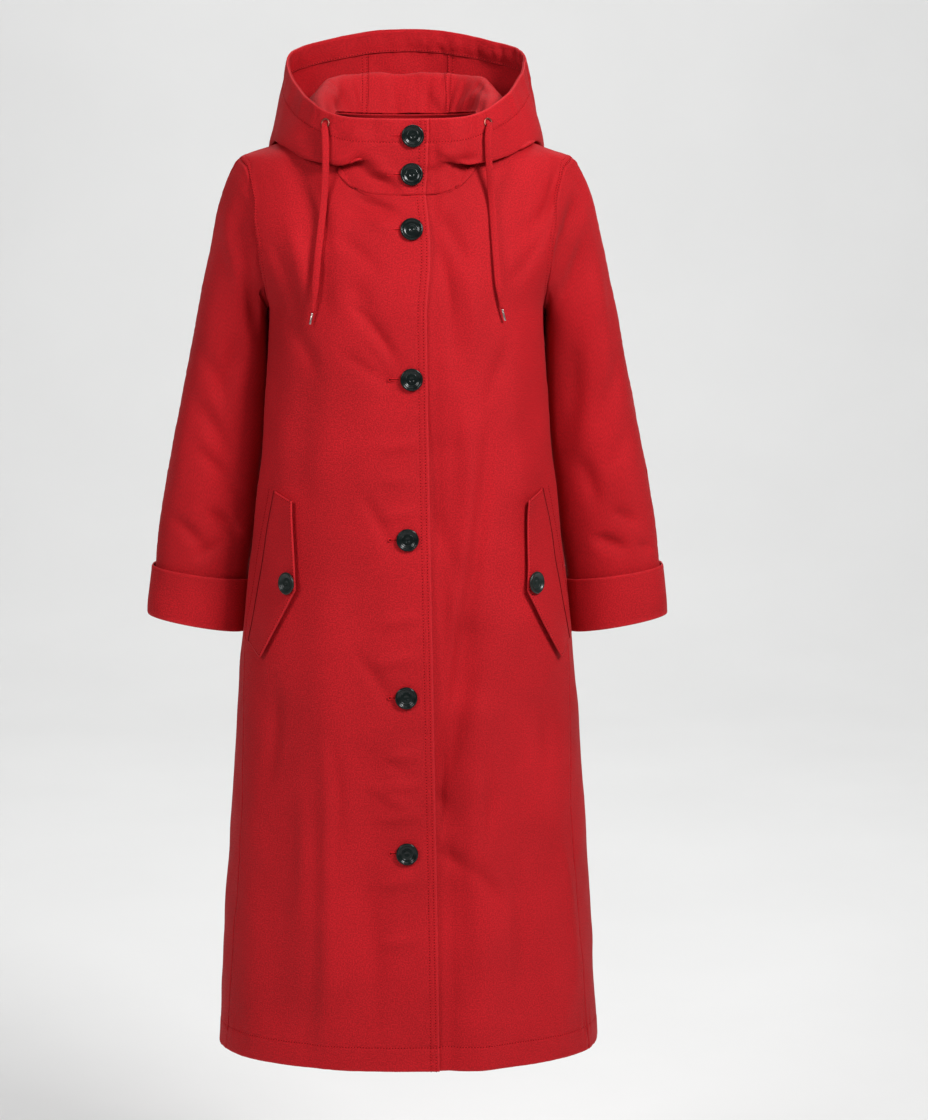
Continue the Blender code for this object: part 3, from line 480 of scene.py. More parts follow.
# %% Drawstring sizes
CORD_WIDTH = 0.0085
CORD_DEPTH = 0.0027
CORD_STEP = 0.0040
CORD_SIDES = 20
CORD_SEAM_SHARE = 0.27
CORD_TWIST = {"right": 0.22, "left": -0.25}
CORD_SQUARE = 0.75
CORDS = {
    "right": {
        "route": (
            (-0.0960, -0.0853, 0.0096),
            (-0.0948, -0.0908, 0.0010),
            (-0.0940, -0.0938, -0.0090),
            (-0.0936, -0.0958, -0.0220),
            (-0.0936, -0.0970, -0.0360),
            (-0.0940, -0.0978, -0.0520),
            (-0.0950, -0.0986, -0.0700),
            (-0.0970, -0.1007, -0.0920),
            (-0.0998, -0.1060, -0.1180),
            (-0.1028, -0.1100, -0.1440),
            (-0.1051, -0.1122, -0.1700),
            (-0.1073, -0.1128, -0.1930),
            (-0.1098, -0.1132, -0.2140),
        ),
        "eyelet": (-0.0940, 0.0090),
        "tip": (-0.1133, -0.1122, -0.2300),
    },
    "left": {
        "route": (
            (0.1014, -0.0812, 0.0103),
            (0.1000, -0.0867, 0.0018),
            (0.0993, -0.0899, -0.0085),
            (0.0995, -0.0923, -0.0215),
            (0.1002, -0.0940, -0.0360),
            (0.1013, -0.0953, -0.0520),
            (0.1027, -0.0966, -0.0700),
            (0.1045, -0.1003, -0.0920),
            (0.1064, -0.1076, -0.1180),
            (0.1084, -0.1128, -0.1440),
            (0.1104, -0.1149, -0.1680),
            (0.1128, -0.1141, -0.1900),
            (0.1160, -0.1117, -0.2100),
        ),
        "eyelet": (0.0990, 0.0095),
        "tip": (0.1200, -0.1095, -0.2255),
    },
}

# %% Drawstring shape
def cord_frames(path, turn_amount):
    """At each point of a path: across the cord's flat face, and out of it."""
    along = unit(np.gradient(path, axis=0))
    share = np.linspace(0.0, 1.0, len(path))
    turn = turn_amount * np.sin(share * 5.0)
    side = np.stack([np.cos(turn), np.sin(turn), 0 * turn], axis=-1)
    side = unit(side - along * np.sum(side * along, axis=-1, keepdims=True))
    return side, unit(np.cross(side, along))


def make_drawstring(side_name):
    """The flat tube of one drawstring, with closed ends."""
    path = smooth_route(CORDS[side_name]["route"], CORD_STEP)
    side, out = cord_frames(path, CORD_TWIST[side_name])
    share = np.linspace(0.0, 1.0, len(path))
    narrow = 1 - 0.30 * (1 - smooth_step(share / 0.05)) - 0.62 * smooth_step((share - 0.86) / 0.14)
    thick = 1 + 0.25 * (1 - smooth_step(share / 0.05))
    turn = np.linspace(0.0, 2 * np.pi, CORD_SIDES + 1)
    across = np.sign(np.cos(turn)) * np.abs(np.cos(turn)) ** CORD_SQUARE
    rise = np.sign(np.sin(turn)) * np.abs(np.sin(turn)) ** CORD_SQUARE
    wobble = 1 + 0.05 * ripple(share * 0.25, 31)
    reach = (CORD_WIDTH / 2 * narrow * wobble)[:, None, None] * across[None, :, None]
    stand = (CORD_DEPTH / 2 * thick * narrow ** 0.4)[:, None, None] * rise[None, :, None]
    rings = path[:, None] + side[:, None] * reach + out[:, None] * stand
    rings[:, -1] = rings[:, 0]
    mesh = grid_mesh("drawstring_" + side_name, rings, rings - path[:, None],
                     np.zeros(rings.shape[:2]))
    bm = bmesh.new()
    bm.from_mesh(mesh)
    bmesh.ops.remove_doubles(bm, verts=bm.verts, dist=0.00001)
    bmesh.ops.holes_fill(bm, edges=bm.edges, sides=0)
    bmesh.ops.recalc_face_normals(bm, faces=bm.faces)
    bm.to_mesh(mesh)
    bm.free()
    piece = placed("drawstring_" + side_name, mesh, cord_twill)
    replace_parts(piece, "cord_" + side_name)
    seam = path + side * (CORD_WIDTH * CORD_SEAM_SHARE * narrow)[:, None] + out * (
        CORD_DEPTH / 2 * thick * narrow ** 0.4 * 0.98)[:, None]
    return piece, path, (seam, out)


drawstrings = {side_name: make_drawstring(side_name) for side_name in CORDS}
for side_name, (_, path, _) in drawstrings.items():
    print("drawstring", side_name, round(float(run_along(path)[-1]), 4), "m long")

# %% [markdown]
# ## Turned metal and resin
#
# Eyelets, cord tips and buttons are round, so each is drawn as half of its section and spun. The
# section is a list of radius and height, from the middle of the back round to the middle of the
# front, and the spin is closed by merging its first and last copy.

# %% Spinning a section
def spun(name, section, sides, matrix):
    """A closed round shape spun about +Z from a section of radius and height, put in its place."""
    bm = bmesh.new()
    verts = [bm.verts.new((radius, 0.0, height)) for radius, height in section]
    edges = [bm.edges.new(pair) for pair in zip(verts, verts[1:])]
    if section[0][0] > 0:
        edges.append(bm.edges.new((verts[-1], verts[0])))
    bmesh.ops.spin(bm, geom=verts + edges, cent=(0, 0, 0), axis=(0, 0, 1), angle=2 * math.pi,
                   steps=sides, use_merge=True)
    bmesh.ops.remove_doubles(bm, verts=bm.verts, dist=0.00001)
    bmesh.ops.recalc_face_normals(bm, faces=bm.faces)
    bmesh.ops.transform(bm, matrix=matrix, verts=bm.verts)
    mesh = mesh_from(bm, name)
    mesh.set_sharp_from_angle(angle=math.radians(50))
    return mesh


def facing(origin, out):
    """A placement whose +Z points out of the cloth and whose +Y is as upright as it can be."""
    z_axis = Vector(out).normalized()
    x_axis = Vector((0.0, 0.0, 1.0)).cross(z_axis).normalized()
    turn = Matrix((x_axis, z_axis.cross(x_axis), z_axis)).transposed().to_4x4()
    return Matrix.Translation(Vector(origin)) @ turn


def round_section(middle_radius, middle_height, across, tall, points):
    """An oval ring section for a rolled rim."""
    turn = np.linspace(0.0, 2 * np.pi, points, endpoint=False)
    return [(middle_radius + across / 2 * math.cos(t), middle_height + tall / 2 * math.sin(t))
            for t in turn]


# %% Cord tips
TIP_SECTION = (
    (0.0000, 0.0000), (0.0013, 0.0000), (0.00145, 0.0002), (0.00145, 0.0026), (0.00125, 0.0029),
    (0.00125, 0.0032), (0.00140, 0.0035), (0.00140, 0.0128), (0.0012, 0.0137), (0.0007, 0.0140),
    (0.0000, 0.0140),
)
cord_tips = {}
for side_name, cord in CORDS.items():
    start = Vector(cord["route"][-1])
    direction = (Vector(cord["tip"]) - start).normalized()
    turn = Vector((0.0, 0.0, 1.0)).rotation_difference(direction).to_matrix().to_4x4()
    mesh = spun("tip_" + side_name, TIP_SECTION, 24, Matrix.Translation(start) @ turn)
    cord_tips[side_name] = placed("tip_" + side_name, mesh, metal)
    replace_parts(cord_tips[side_name], "aglet_" + side_name)
print("cord tips", TIP_SECTION[-1][1] * 1000, "mm long")

# %% [markdown]
# ## The body's form
#
# The fronts and the back hang from the shoulders over one form, a rounded oval at every height.
# The oval is a superellipse: with a roundness of 2 it is a plain ellipse, above 2 it gets squarer,
# as a worn coat is over the ribs, and below 2 more pointed, as it is at the shoulders. The form
# itself is never seen. The wearer's right side has negative x.

# %% Form of the body
SIDES = {"right": -1.0, "left": 1.0}
CLOTH = 0.0016
DOUBLE_CLOTH = 0.0020
UNDERLAP_DROP = 0.0026
LAP_REACH = 0.021
LAP_RAMP = 0.012
HEM = -1.136
UNDERARM = -0.2157
SHOULDER_POINT = -0.033
NECK_POINT = 0.022
SEAM_FORWARD = 6.0
NECK_STATION_WIDTH = 0.0335
ALL_STATIONS = 22.0

form = readers(("height", "half_width", "front_depth", "back_depth", "roundness"), (
    (-1.1360, 0.2385, 0.150, 0.151, 2.10),
    (-0.9520, 0.2286, 0.149, 0.149, 2.10),
    (-0.8000, 0.2177, 0.149, 0.147, 2.15),
    (-0.6270, 0.2043, 0.147, 0.142, 2.20),
    (-0.5000, 0.1910, 0.143, 0.133, 2.20),
    (-0.3660, 0.1760, 0.138, 0.125, 2.30),
    (-0.2157, 0.1675, 0.134, 0.128, 2.30),
    (-0.1500, 0.2000, 0.124, 0.125, 2.20),
    (-0.1000, 0.2130, 0.112, 0.117, 2.00),
    (-0.0600, 0.2120, 0.098, 0.106, 1.80),
    (-0.0330, 0.2015, 0.084, 0.096, 1.70),
    (-0.0190, 0.1650, 0.074, 0.090, 1.80),
    (-0.0020, 0.1250, 0.058, 0.080, 1.90),
    (0.0220, 0.0850, 0.035, 0.066, 2.00),
    (0.0260, 0.0780, 0.030, 0.062, 2.00),
))
neck = readers(("station", "angle", "height"), (
    (0.0, 0.0, -0.0750),
    (1.0, 10.1, -0.0740),
    (2.0, 17.6, -0.0680),
    (3.0, 23.9, -0.0540),
    (4.0, 29.5, -0.0360),
    (5.0, 40.0, -0.0120),
    (6.0, 58.4, 0.0100),
    (7.0, 84.0, 0.0220),
    (8.0, 111.5, 0.0214),
    (9.0, 129.9, 0.0205),
    (10.0, 146.9, 0.0197),
    (11.0, 180.0, 0.0190),
))
side_seam_swing = readers(("height", "swing"), (
    (-1.1360, 19.0), (-0.8700, 24.0), (-0.6200, 15.0), (-0.4000, 4.0), (-0.2157, 0.0)))["swing"]
armhole = readers(("height", "front", "back"), (
    (-0.2157, 0.1675, 0.1675),
    (-0.1900, 0.1700, 0.1730),
    (-0.1527, 0.1763, 0.1830),
    (-0.0950, 0.1815, 0.1880),
    (-0.0600, 0.1900, 0.1930),
    (-0.0330, 0.2015, 0.2015),
))
lap = readers(("height", "right", "left"), (
    (-1.136, 0.0410, 0.0200),
    (-0.950, 0.0385, 0.0200),
    (-0.627, 0.0330, 0.0200),
    (-0.300, 0.0275, 0.0200),
    (-0.075, 0.0250, 0.0200),
))


def on_form(angle, height):
    """A point of the body's form. Angle 0 is centre front, 90 the wearer's left, 180 the back."""
    turn = np.radians(angle)
    across = np.sin(turn)
    ahead = np.cos(turn)
    power = 2 / form["roundness"](height)
    depth = np.where(ahead > 0, form["front_depth"](height), form["back_depth"](height))
    x = form["half_width"](height) * np.sign(across) * np.abs(across) ** power
    y = -depth * np.sign(ahead) * np.abs(ahead) ** power
    return np.stack([x, y, height + 0 * x], axis=-1)


def form_normal(angle, height):
    """The direction straight out of the body's form."""
    around = on_form(angle + 0.4, height) - on_form(angle - 0.4, height)
    up = on_form(angle, height + 0.0008) - on_form(angle, height - 0.0008)
    return unit(np.cross(around, up))


def angle_at(x, height):
    """The angle at which the form is this far out from the middle, on the front."""
    share = np.clip(np.abs(x) / form["half_width"](height), 0.0, 1.0)
    return np.sign(x) * np.degrees(np.arcsin(share ** (form["roundness"](height) / 2)))


# %% [markdown]
# ## Folds of the body
#
# The main folds were placed one by one: creases that run down the chest, slanted ones that pull
# towards the fourth button, and long soft ridges that fall from the hips to the hem. Each is a
# line in the front or back view with a width and a height, and no two are alike. The first two
# tables are the broad ones, and the next two are the smaller creases on top of them. All of them
# fade out at the neck, shoulder and armhole seams, where two pieces have to meet.

# %% Fold tables
FRONT_FOLDS = (
    (0.052, -0.380, 0.050, -0.820, 0.020, -0.0042),
    (0.128, -0.300, 0.139, -0.430, 0.014, 0.0026),
    (-0.105, -0.170, -0.128, -0.420, 0.020, -0.0028),
    (-0.120, -0.045, -0.098, -0.200, 0.016, -0.0050),
    (0.176, -0.060, 0.140, -0.120, 0.014, -0.0040),
    (-0.056, -0.190, -0.012, -0.285, 0.013, -0.0035),
    (0.040, -0.120, 0.058, -0.250, 0.018, -0.0040),
    (0.080, -0.600, 0.046, -0.800, 0.022, -0.0055),
    (0.084, -0.700, 0.092, -1.130, 0.026, 0.0072),
    (-0.090, -0.560, -0.096, -1.080, 0.028, 0.0040),
    (-0.150, -0.700, -0.160, -1.060, 0.026, -0.0040),
    (0.150, -0.700, 0.158, -1.060, 0.026, -0.0040),
    (-0.040, -0.760, -0.036, -1.020, 0.024, -0.0030),
)
BACK_FOLDS = (
    (0.000, -0.420, 0.000, -1.080, 0.034, 0.0060),
    (0.062, -0.460, 0.070, -1.136, 0.030, -0.0060),
    (-0.062, -0.430, -0.068, -1.136, 0.030, -0.0055),
    (0.124, -0.560, 0.138, -1.136, 0.030, 0.0050),
    (-0.120, -0.520, -0.136, -1.136, 0.030, 0.0055),
    (0.130, -0.070, 0.085, -0.230, 0.018, -0.0040),
    (-0.132, -0.075, -0.088, -0.240, 0.018, -0.0040),
)
FRONT_CREASES = (
    (-0.072, -0.088, -0.010, -0.108, 0.0065, -0.0014),
    (-0.085, -0.120, -0.028, -0.165, 0.0090, -0.0011),
    (0.036, -0.088, 0.075, -0.160, 0.0080, -0.0013),
    (0.060, -0.300, 0.075, -0.440, 0.0090, 0.0010),
    (0.026, -0.330, 0.034, -0.520, 0.0090, -0.0010),
    (-0.060, -0.079, -0.004, -0.098, 0.006, -0.0022),
    (-0.052, -0.096, -0.006, -0.116, 0.009, 0.0012),
    (0.104, -0.316, 0.041, -0.785, 0.009, -0.0026),
    (0.090, -0.330, 0.030, -0.700, 0.016, 0.0014),
    (0.052, -0.800, 0.060, -1.130, 0.017, -0.0026),
    (0.036, -0.860, 0.080, -0.892, 0.009, -0.0013),
    (0.080, -0.880, 0.116, -0.934, 0.008, -0.0014),
    (0.184, -0.838, 0.209, -1.050, 0.006, 0.0012),
    (-0.097, -0.702, -0.103, -1.130, 0.008, 0.0008),
    (-0.113, -0.702, -0.119, -1.130, 0.011, -0.0007),
    (-0.034, -0.375, 0.014, -0.366, 0.006, 0.0010),
    (-0.030, -0.415, 0.010, -0.408, 0.006, 0.0009),
    (-0.036, -0.458, 0.012, -0.446, 0.007, 0.0010),
    (-0.032, -0.585, 0.016, -0.574, 0.007, 0.0011),
    (-0.040, -0.634, 0.014, -0.622, 0.007, 0.0011),
    (-0.030, -0.750, 0.018, -0.741, 0.006, 0.0012),
    (-0.040, -0.786, 0.020, -0.777, 0.006, 0.0011),
    (-0.034, -0.824, 0.018, -0.816, 0.006, 0.0010),
    (-0.036, -0.905, 0.016, -0.893, 0.007, 0.0010),
    (-0.034, -0.980, 0.016, -0.968, 0.008, 0.0010),
    (0.030, -0.790, 0.052, -0.812, 0.009, -0.0009),
    (-0.062, -0.205, -0.004, -0.278, 0.006, -0.0016),
    (-0.046, -0.235, -0.010, -0.292, 0.005, 0.0012),
    (-0.075, -0.262, -0.018, -0.300, 0.006, -0.0010),
    (-0.112, -0.050, -0.092, -0.148, 0.008, -0.0018),
    (-0.142, -0.100, -0.120, -0.190, 0.007, 0.0014),
    (-0.160, -0.130, -0.130, -0.230, 0.009, -0.0016),
    (-0.150, -0.215, -0.105, -0.290, 0.010, -0.0012),
    (0.186, -0.058, 0.152, -0.122, 0.006, -0.0018),
    (0.174, -0.048, 0.140, -0.112, 0.005, 0.0015),
    (0.168, -0.120, 0.120, -0.185, 0.007, -0.0012),
    (0.040, -0.130, 0.055, -0.235, 0.007, -0.0016),
    (0.070, -0.150, 0.082, -0.260, 0.012, 0.0012),
    (0.125, -0.240, 0.090, -0.330, 0.010, -0.0012),
    (0.030, -0.440, 0.066, -0.560, 0.010, -0.0010),
    (-0.052, -0.430, -0.014, -0.500, 0.007, -0.0012),
    (-0.060, -0.620, -0.012, -0.690, 0.008, -0.0012),
    (0.084, -0.600, 0.040, -0.800, 0.009, -0.0020),
    (0.098, -0.750, 0.098, -0.855, 0.008, -0.0016),
    (0.042, -0.848, 0.072, -0.900, 0.010, -0.0006),
    (-0.030, -0.745, 0.012, -0.775, 0.006, -0.0010),
    (-0.040, -0.785, 0.010, -0.812, 0.006, 0.0008),
    (-0.089, -0.722, -0.086, -0.880, 0.008, -0.0012),
    (-0.128, -0.800, -0.134, -0.960, 0.010, 0.0010),
    (-0.096, -0.960, -0.097, -1.100, 0.011, 0.0006),
    (0.130, -0.880, 0.140, -1.060, 0.011, -0.0014),
    (-0.160, -0.660, -0.175, -0.800, 0.008, -0.0012),
    (0.165, -0.680, 0.175, -0.790, 0.008, -0.0012),
    (0.060, -0.960, 0.064, -1.110, 0.012, 0.0012),
    (-0.050, -0.900, -0.040, -1.090, 0.012, -0.0010),
)
BACK_CREASES = (
    (0.138, -0.090, 0.082, -0.200, 0.008, -0.0020),
    (0.120, -0.080, 0.060, -0.170, 0.007, 0.0015),
    (-0.142, -0.088, -0.090, -0.215, 0.009, -0.0020),
    (-0.118, -0.090, -0.070, -0.160, 0.006, 0.0012),
    (0.040, -0.230, -0.030, -0.330, 0.012, -0.0014),
    (-0.100, -0.300, -0.060, -0.420, 0.010, -0.0012),
    (0.110, -0.320, 0.072, -0.450, 0.011, -0.0014),
    (0.030, -0.520, 0.038, -0.700, 0.010, -0.0014),
    (-0.094, -0.560, -0.098, -0.740, 0.011, -0.0012),
    (0.100, -0.700, 0.108, -0.920, 0.012, 0.0014),
    (-0.030, -0.760, -0.034, -1.000, 0.013, -0.0014),
    (0.150, -0.860, 0.160, -1.060, 0.012, -0.0012),
    (-0.160, -0.880, -0.168, -1.080, 0.011, 0.0012),
)
FOLDS_GONE_X = 0.005
FOLDS_FADE_WIDTH = 0.030
DIPS_KEPT = 0.3
DIPS_KEPT_X = 0.02
TOP_FADE = 0.012
ARMHOLE_FADE = 0.024
ABOVE_ARM_RAMP = 0.02


def cloth_face(angle, height, under=False, keep=1.0):
    """A point of the coat's outer face and the direction out of it, folds included."""
    point = on_form(angle, height)
    out = form_normal(angle, height)
    x = point[..., 0]
    z = point[..., 2]
    front = fold_height(x, z, FRONT_FOLDS)
    back = fold_height(x, z, BACK_FOLDS)
    small_front = fold_height(x, z, FRONT_CREASES, tapered=True)
    small_back = fold_height(x, z, BACK_CREASES, tapered=True)
    past_lap = lap["right"](height) + LAP_REACH
    if under:
        front = np.where(x < past_lap, np.minimum(front, 0.0), front)
        small_front = np.where(x < past_lap, np.minimum(small_front, 0.0), small_front)
    else:
        fade = smooth_step((FOLDS_GONE_X - x) / FOLDS_FADE_WIDTH)
        near_lap = x < past_lap - LAP_REACH / 2
        front = front * np.where(near_lap, fade, 1.0)
        small_front = np.where(near_lap, np.maximum(small_front, 0.0) + np.minimum(
            small_front, 0.0) * np.maximum(fade, DIPS_KEPT * (x < DIPS_KEPT_X)), small_front)
    share = smooth_step(0.5 + 2.0 * np.cos(np.radians(angle)))
    push = (front + small_front) * share + (back + small_back) * (1 - share)
    push = push + uneven(point, 5, 0.090, 0.00075) + uneven(point, 6, 0.034, 0.00028)
    return point + out * (push * keep)[..., None], out


def seam_keep(angles, heights, sides):
    """How much of the folds is kept at each point: none at the neck, shoulder and arm seams."""
    distance = edge_distances(on_form(angles, heights))
    above = smooth_step((heights - UNDERARM) / ABOVE_ARM_RAMP)
    keep = smooth_step(distance["top"] / TOP_FADE)
    for side in sides:
        keep = keep * (1 - above * (1 - smooth_step(distance[side] / ARMHOLE_FADE)))
    return keep


# %% [markdown]
# ## Fronts and back
#
# A front is one grid from the hem to the neck and shoulder. Its columns fan out from the top edge,
# its rows are level below the arm, and above it they bend so that the last one runs along the
# neckline and the shoulder seam. The right front laps over the left one, so the left one is held
# in a little where it passes under.

# %% Edges of the body's pieces
def side_seam(height):
    """The angle of the side seam from centre front."""
    return 90 - side_seam_swing(height)


def arm_share(even):
    """A share of the armhole's height for an even share, closer together at its two ends."""
    return between(even, (1 - np.cos(np.pi * even)) / 2, 0.7)


ARM_STATIONS = arm_share(np.linspace(0.0, 1.0, 9))


def armhole_angle(shares, which):
    """The angle of the armhole seam on the front or the back half, from its own centre."""
    height = between(UNDERARM, SHOULDER_POINT, ARM_STATIONS)
    forward = SEAM_FORWARD * ARM_STATIONS ** 6 * (-1 if which == "front" else 1)
    return monotone(ARM_STATIONS, angle_at(armhole[which](height), height) + forward)(shares)


def body_rows():
    """Heights below the arm, close together in the hem, and shares above it."""
    low = HEM + (UNDERARM - HEM) * graded(UNDERARM - HEM, turned_start=0.037)
    high = arm_share(np.linspace(0.0, 1.0, 46))
    return low, high[1:]


def body_grid(top_angle, top_height, shares, edge_angle, side_angle, which):
    """Angles and heights of a front or half back, row by row from the hem."""
    low, high = body_rows()
    at_arm = armhole_angle(high, which)
    angles = [between(edge_angle(z), side_angle(z), shares) for z in low]
    heights = [np.full(len(shares), z) for z in low]
    last = angles[-1]
    for up, arm in zip(high, at_arm):
        plain = between(last, top_angle, up)
        angles.append(plain + shares * (arm - between(last[-1], top_angle[-1], up)))
        heights.append(between(UNDERARM, top_height, up))
    return np.array(angles), np.array(heights)


def top_edge(first_station, shoulder_angle, wanted):
    """The neckline from a station to the neck point and on down the shoulder, at wanted shares."""
    stations = np.linspace(first_station, 7.0, 200)
    angle = np.sign(stations) * neck["angle"](np.abs(stations))
    height = neck["height"](np.abs(stations))
    if first_station > 7.0:
        angle = 180 - angle
    slope = np.linspace(NECK_POINT, SHOULDER_POINT, 120)[1:]
    angle = np.concatenate([angle, np.full(len(slope), shoulder_angle)])
    height = np.concatenate([height, slope])
    line = on_form(180 - angle if first_station > 7.0 else angle, height)
    run = run_along(line)
    run = run / run[-1]
    return np.interp(wanted, run, angle), np.interp(wanted, run, height)


# %% Make the fronts and the back
def edge_distances(base):
    """How far each point of a grid is from the grid's own four edges."""
    across = run_along(base, axis=1)
    up = run_along(base, axis=0)
    return {"left": across, "right": across[:, -1:] - across, "bottom": up, "top": up[-1:] - up}


def under_lap(x, height):
    """How far under the right side's lap a place of the left side is, from 0 to 1."""
    return smooth_step((lap["right"](height) + LAP_REACH - x) / LAP_RAMP)


ARMHOLE_STITCH = 0.0075
ARMHOLE_EDGE_STITCH = 0.0018
EDGE_STITCH = 0.0042
PLACKET_STITCH = 0.0105
HEM_STITCH = 0.0300


def sewn_body(base, heights, edge, seed):
    """Relief of the hem, the armhole, the side seams and the neckline of a body piece."""
    distance = edge_distances(base)
    above = smooth_step((heights - UNDERARM) / ABOVE_ARM_RAMP)
    push = stitched_edge(distance["bottom"], HEM_STITCH, proud=0.0003)
    push = push + pucker(distance["bottom"] - HEM_STITCH, distance["left"], seed, 0.0008, 0.018)
    push = push + pucker(distance["bottom"], distance["left"], seed + 1, 0.0005, 0.012)
    for side in edge["seams"]:
        push = push + pressed_seam(distance[side]) * (1 - above)
        push = push + pucker(distance[side], distance["bottom"], seed + 2) * (1 - above)
        push = push + stitched_edge(distance[side], ARMHOLE_STITCH, proud=0.0005) * above
        push = push + pucker(distance[side], distance["bottom"], seed + 3, 0.0005) * above
    push = push + pressed_seam(distance["top"])
    push = push + pucker(distance["top"], distance["left"], seed + 4)
    # Paler hem and placket edges: partly wear, partly a painted highlight.
    wear_and_highlight = 0.4 * bell(distance["bottom"], 0.0016)
    if "lap" in edge:
        fold = distance[edge["lap"]]
        push = push + stitched_edge(fold, PLACKET_STITCH, proud=0.0004)
        push = push - 0.0005 * bell(fold - EDGE_STITCH, 0.0012)
        push = push + pucker(fold - PLACKET_STITCH, distance["bottom"], seed + 5, 0.0005, 0.010)
        wear_and_highlight = wear_and_highlight + 0.40 * bell(fold, 0.0014)
    return push, np.clip(wear_and_highlight, 0.0, 1.0), distance


sheets = {}


def make_sheet(name, points, out, wear_and_highlight, thickness, distance, nodes):
    """A finished cloth piece, kept with its grid so that stitches can be laid on it."""
    piece = placed(name, grid_mesh(name, points, out, wear_and_highlight), coat_twill)
    thickened(piece, thickness)
    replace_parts(piece, *nodes)
    sheets[name] = {"points": points, "out": out, "distance": distance, "thickness": thickness,
                    "piece": piece}


def make_front(side_name):
    """One front, from its lap at centre front to the side seam and armhole."""
    side = SIDES[side_name]
    edge = lap[side_name]
    shares = graded(0.27, turned_start=0.016, turned_end=0.013)
    station = -float(edge(neck["height"](0.0))) / NECK_STATION_WIDTH
    top_angle, top_height = top_edge(station, 90 - SEAM_FORWARD, shares)
    angles, heights = body_grid(top_angle, top_height, shares,
                                lambda z: -angle_at(edge(z), z), side_seam, "front")
    angles = angles * side
    under = side_name == "left"
    base, out = cloth_face(angles, heights, under=under,
                           keep=seam_keep(angles, heights, ("right",)))
    push, wear_and_highlight, distance = sewn_body(base, heights, {"seams": ("right",), "lap": "left"},
                                     10 if under else 20)
    if under:
        push = push - UNDERLAP_DROP * under_lap(on_form(angles, heights)[..., 0], heights)
    name = "front_" + side_name + "_cloth"
    make_sheet(name, base + out * push[..., None], out, wear_and_highlight, CLOTH, distance,
               ["front_" + side_name])


def make_back():
    """The back, in one piece from side seam to side seam."""
    shares = graded(0.25, turned_end=0.013)
    top_angle, top_height = top_edge(11.0, 90 + SEAM_FORWARD, shares)
    angles, heights = body_grid(top_angle, top_height, shares, lambda z: 0.0 * z,
                                lambda z: 180 - side_seam(z), "back")
    angles = np.concatenate([180 + angles[:, ::-1], 180 - angles[:, 1:]], axis=1)
    heights = np.concatenate([heights[:, ::-1], heights[:, 1:]], axis=1)
    base, out = cloth_face(angles, heights, keep=seam_keep(angles, heights, ("left", "right")))
    push, wear_and_highlight, distance = sewn_body(base, heights, {"seams": ("left", "right")}, 30)
    make_sheet("back_cloth", base + out * push[..., None], out, wear_and_highlight, CLOTH, distance, ["back"])


make_front("right")
make_front("left")
make_back()
for name, sheet in sheets.items():
    print(name, "grid", sheet["points"].shape[:2])

# %% [markdown]
# ## Sleeves
#
# A sleeve has two halves, seamed under the arm and over it. At its top each ring still has the
# shape of the armhole, and further down it becomes an oval. Making both halves as one closed ring
# first keeps the two in step at their seams. The creases are placed in the front and back views,
# different on every half. They fade where the cloth faces sideways, and none of them stands out
# towards the body, but each back half bulges a little towards it just below the arm. One more row
# at the top is tucked in past the armhole, so that no gap shows there.

# %% Sleeve sizes and folds
sleeve = readers(("share", "over_x", "over_z", "under_x", "under_z", "half_depth", "middle_y",
                  "fullness"), (
    (0.00, 0.2015, -0.0330, 0.1675, -0.2157, 0.0630, 0.0000, 0.00),
    (0.04, 0.2130, -0.0505, 0.1705, -0.2180, 0.0630, 0.0060, 0.15),
    (0.10, 0.2260, -0.0800, 0.1702, -0.2280, 0.0630, 0.0180, 0.40),
    (0.19, 0.2388, -0.1330, 0.1690, -0.2480, 0.0630, 0.0310, 0.70),
    (0.27, 0.2500, -0.1820, 0.1688, -0.2750, 0.0620, 0.0380, 0.90),
    (0.36, 0.2604, -0.2320, 0.1702, -0.3080, 0.0600, 0.0420, 1.00),
    (0.45, 0.2710, -0.2840, 0.1726, -0.3430, 0.0590, 0.0440, 1.00),
    (0.54, 0.2812, -0.3360, 0.1762, -0.3800, 0.0570, 0.0450, 1.00),
    (0.63, 0.2914, -0.3880, 0.1805, -0.4180, 0.0550, 0.0450, 1.00),
    (0.72, 0.3012, -0.4400, 0.1850, -0.4570, 0.0530, 0.0440, 1.00),
    (0.82, 0.3094, -0.4920, 0.1895, -0.4970, 0.0510, 0.0410, 1.00),
    (0.89, 0.3128, -0.5270, 0.1970, -0.5400, 0.0500, 0.0390, 1.00),
    (0.95, 0.3166, -0.5620, 0.2015, -0.5800, 0.0490, 0.0380, 1.00),
    (1.00, 0.3214, -0.5945, 0.2045, -0.6158, 0.0480, 0.0380, 1.00),
))
CUFF_MIDDLE_Y = 0.038
SQUARE = 0.82
cuff = readers(("share", "over_x", "over_z", "under_x", "under_z", "half_depth"), (
    (0.00, 0.3185, -0.5360, 0.1945, -0.5530, 0.0555),
    (0.45, 0.3222, -0.5640, 0.1972, -0.5850, 0.0545),
    (0.90, 0.3254, -0.5945, 0.2008, -0.6165, 0.0530),
    (0.95, 0.3247, -0.5978, 0.2018, -0.6197, 0.0520),
    (1.00, 0.3187, -0.5985, 0.2080, -0.6202, 0.0450),
))
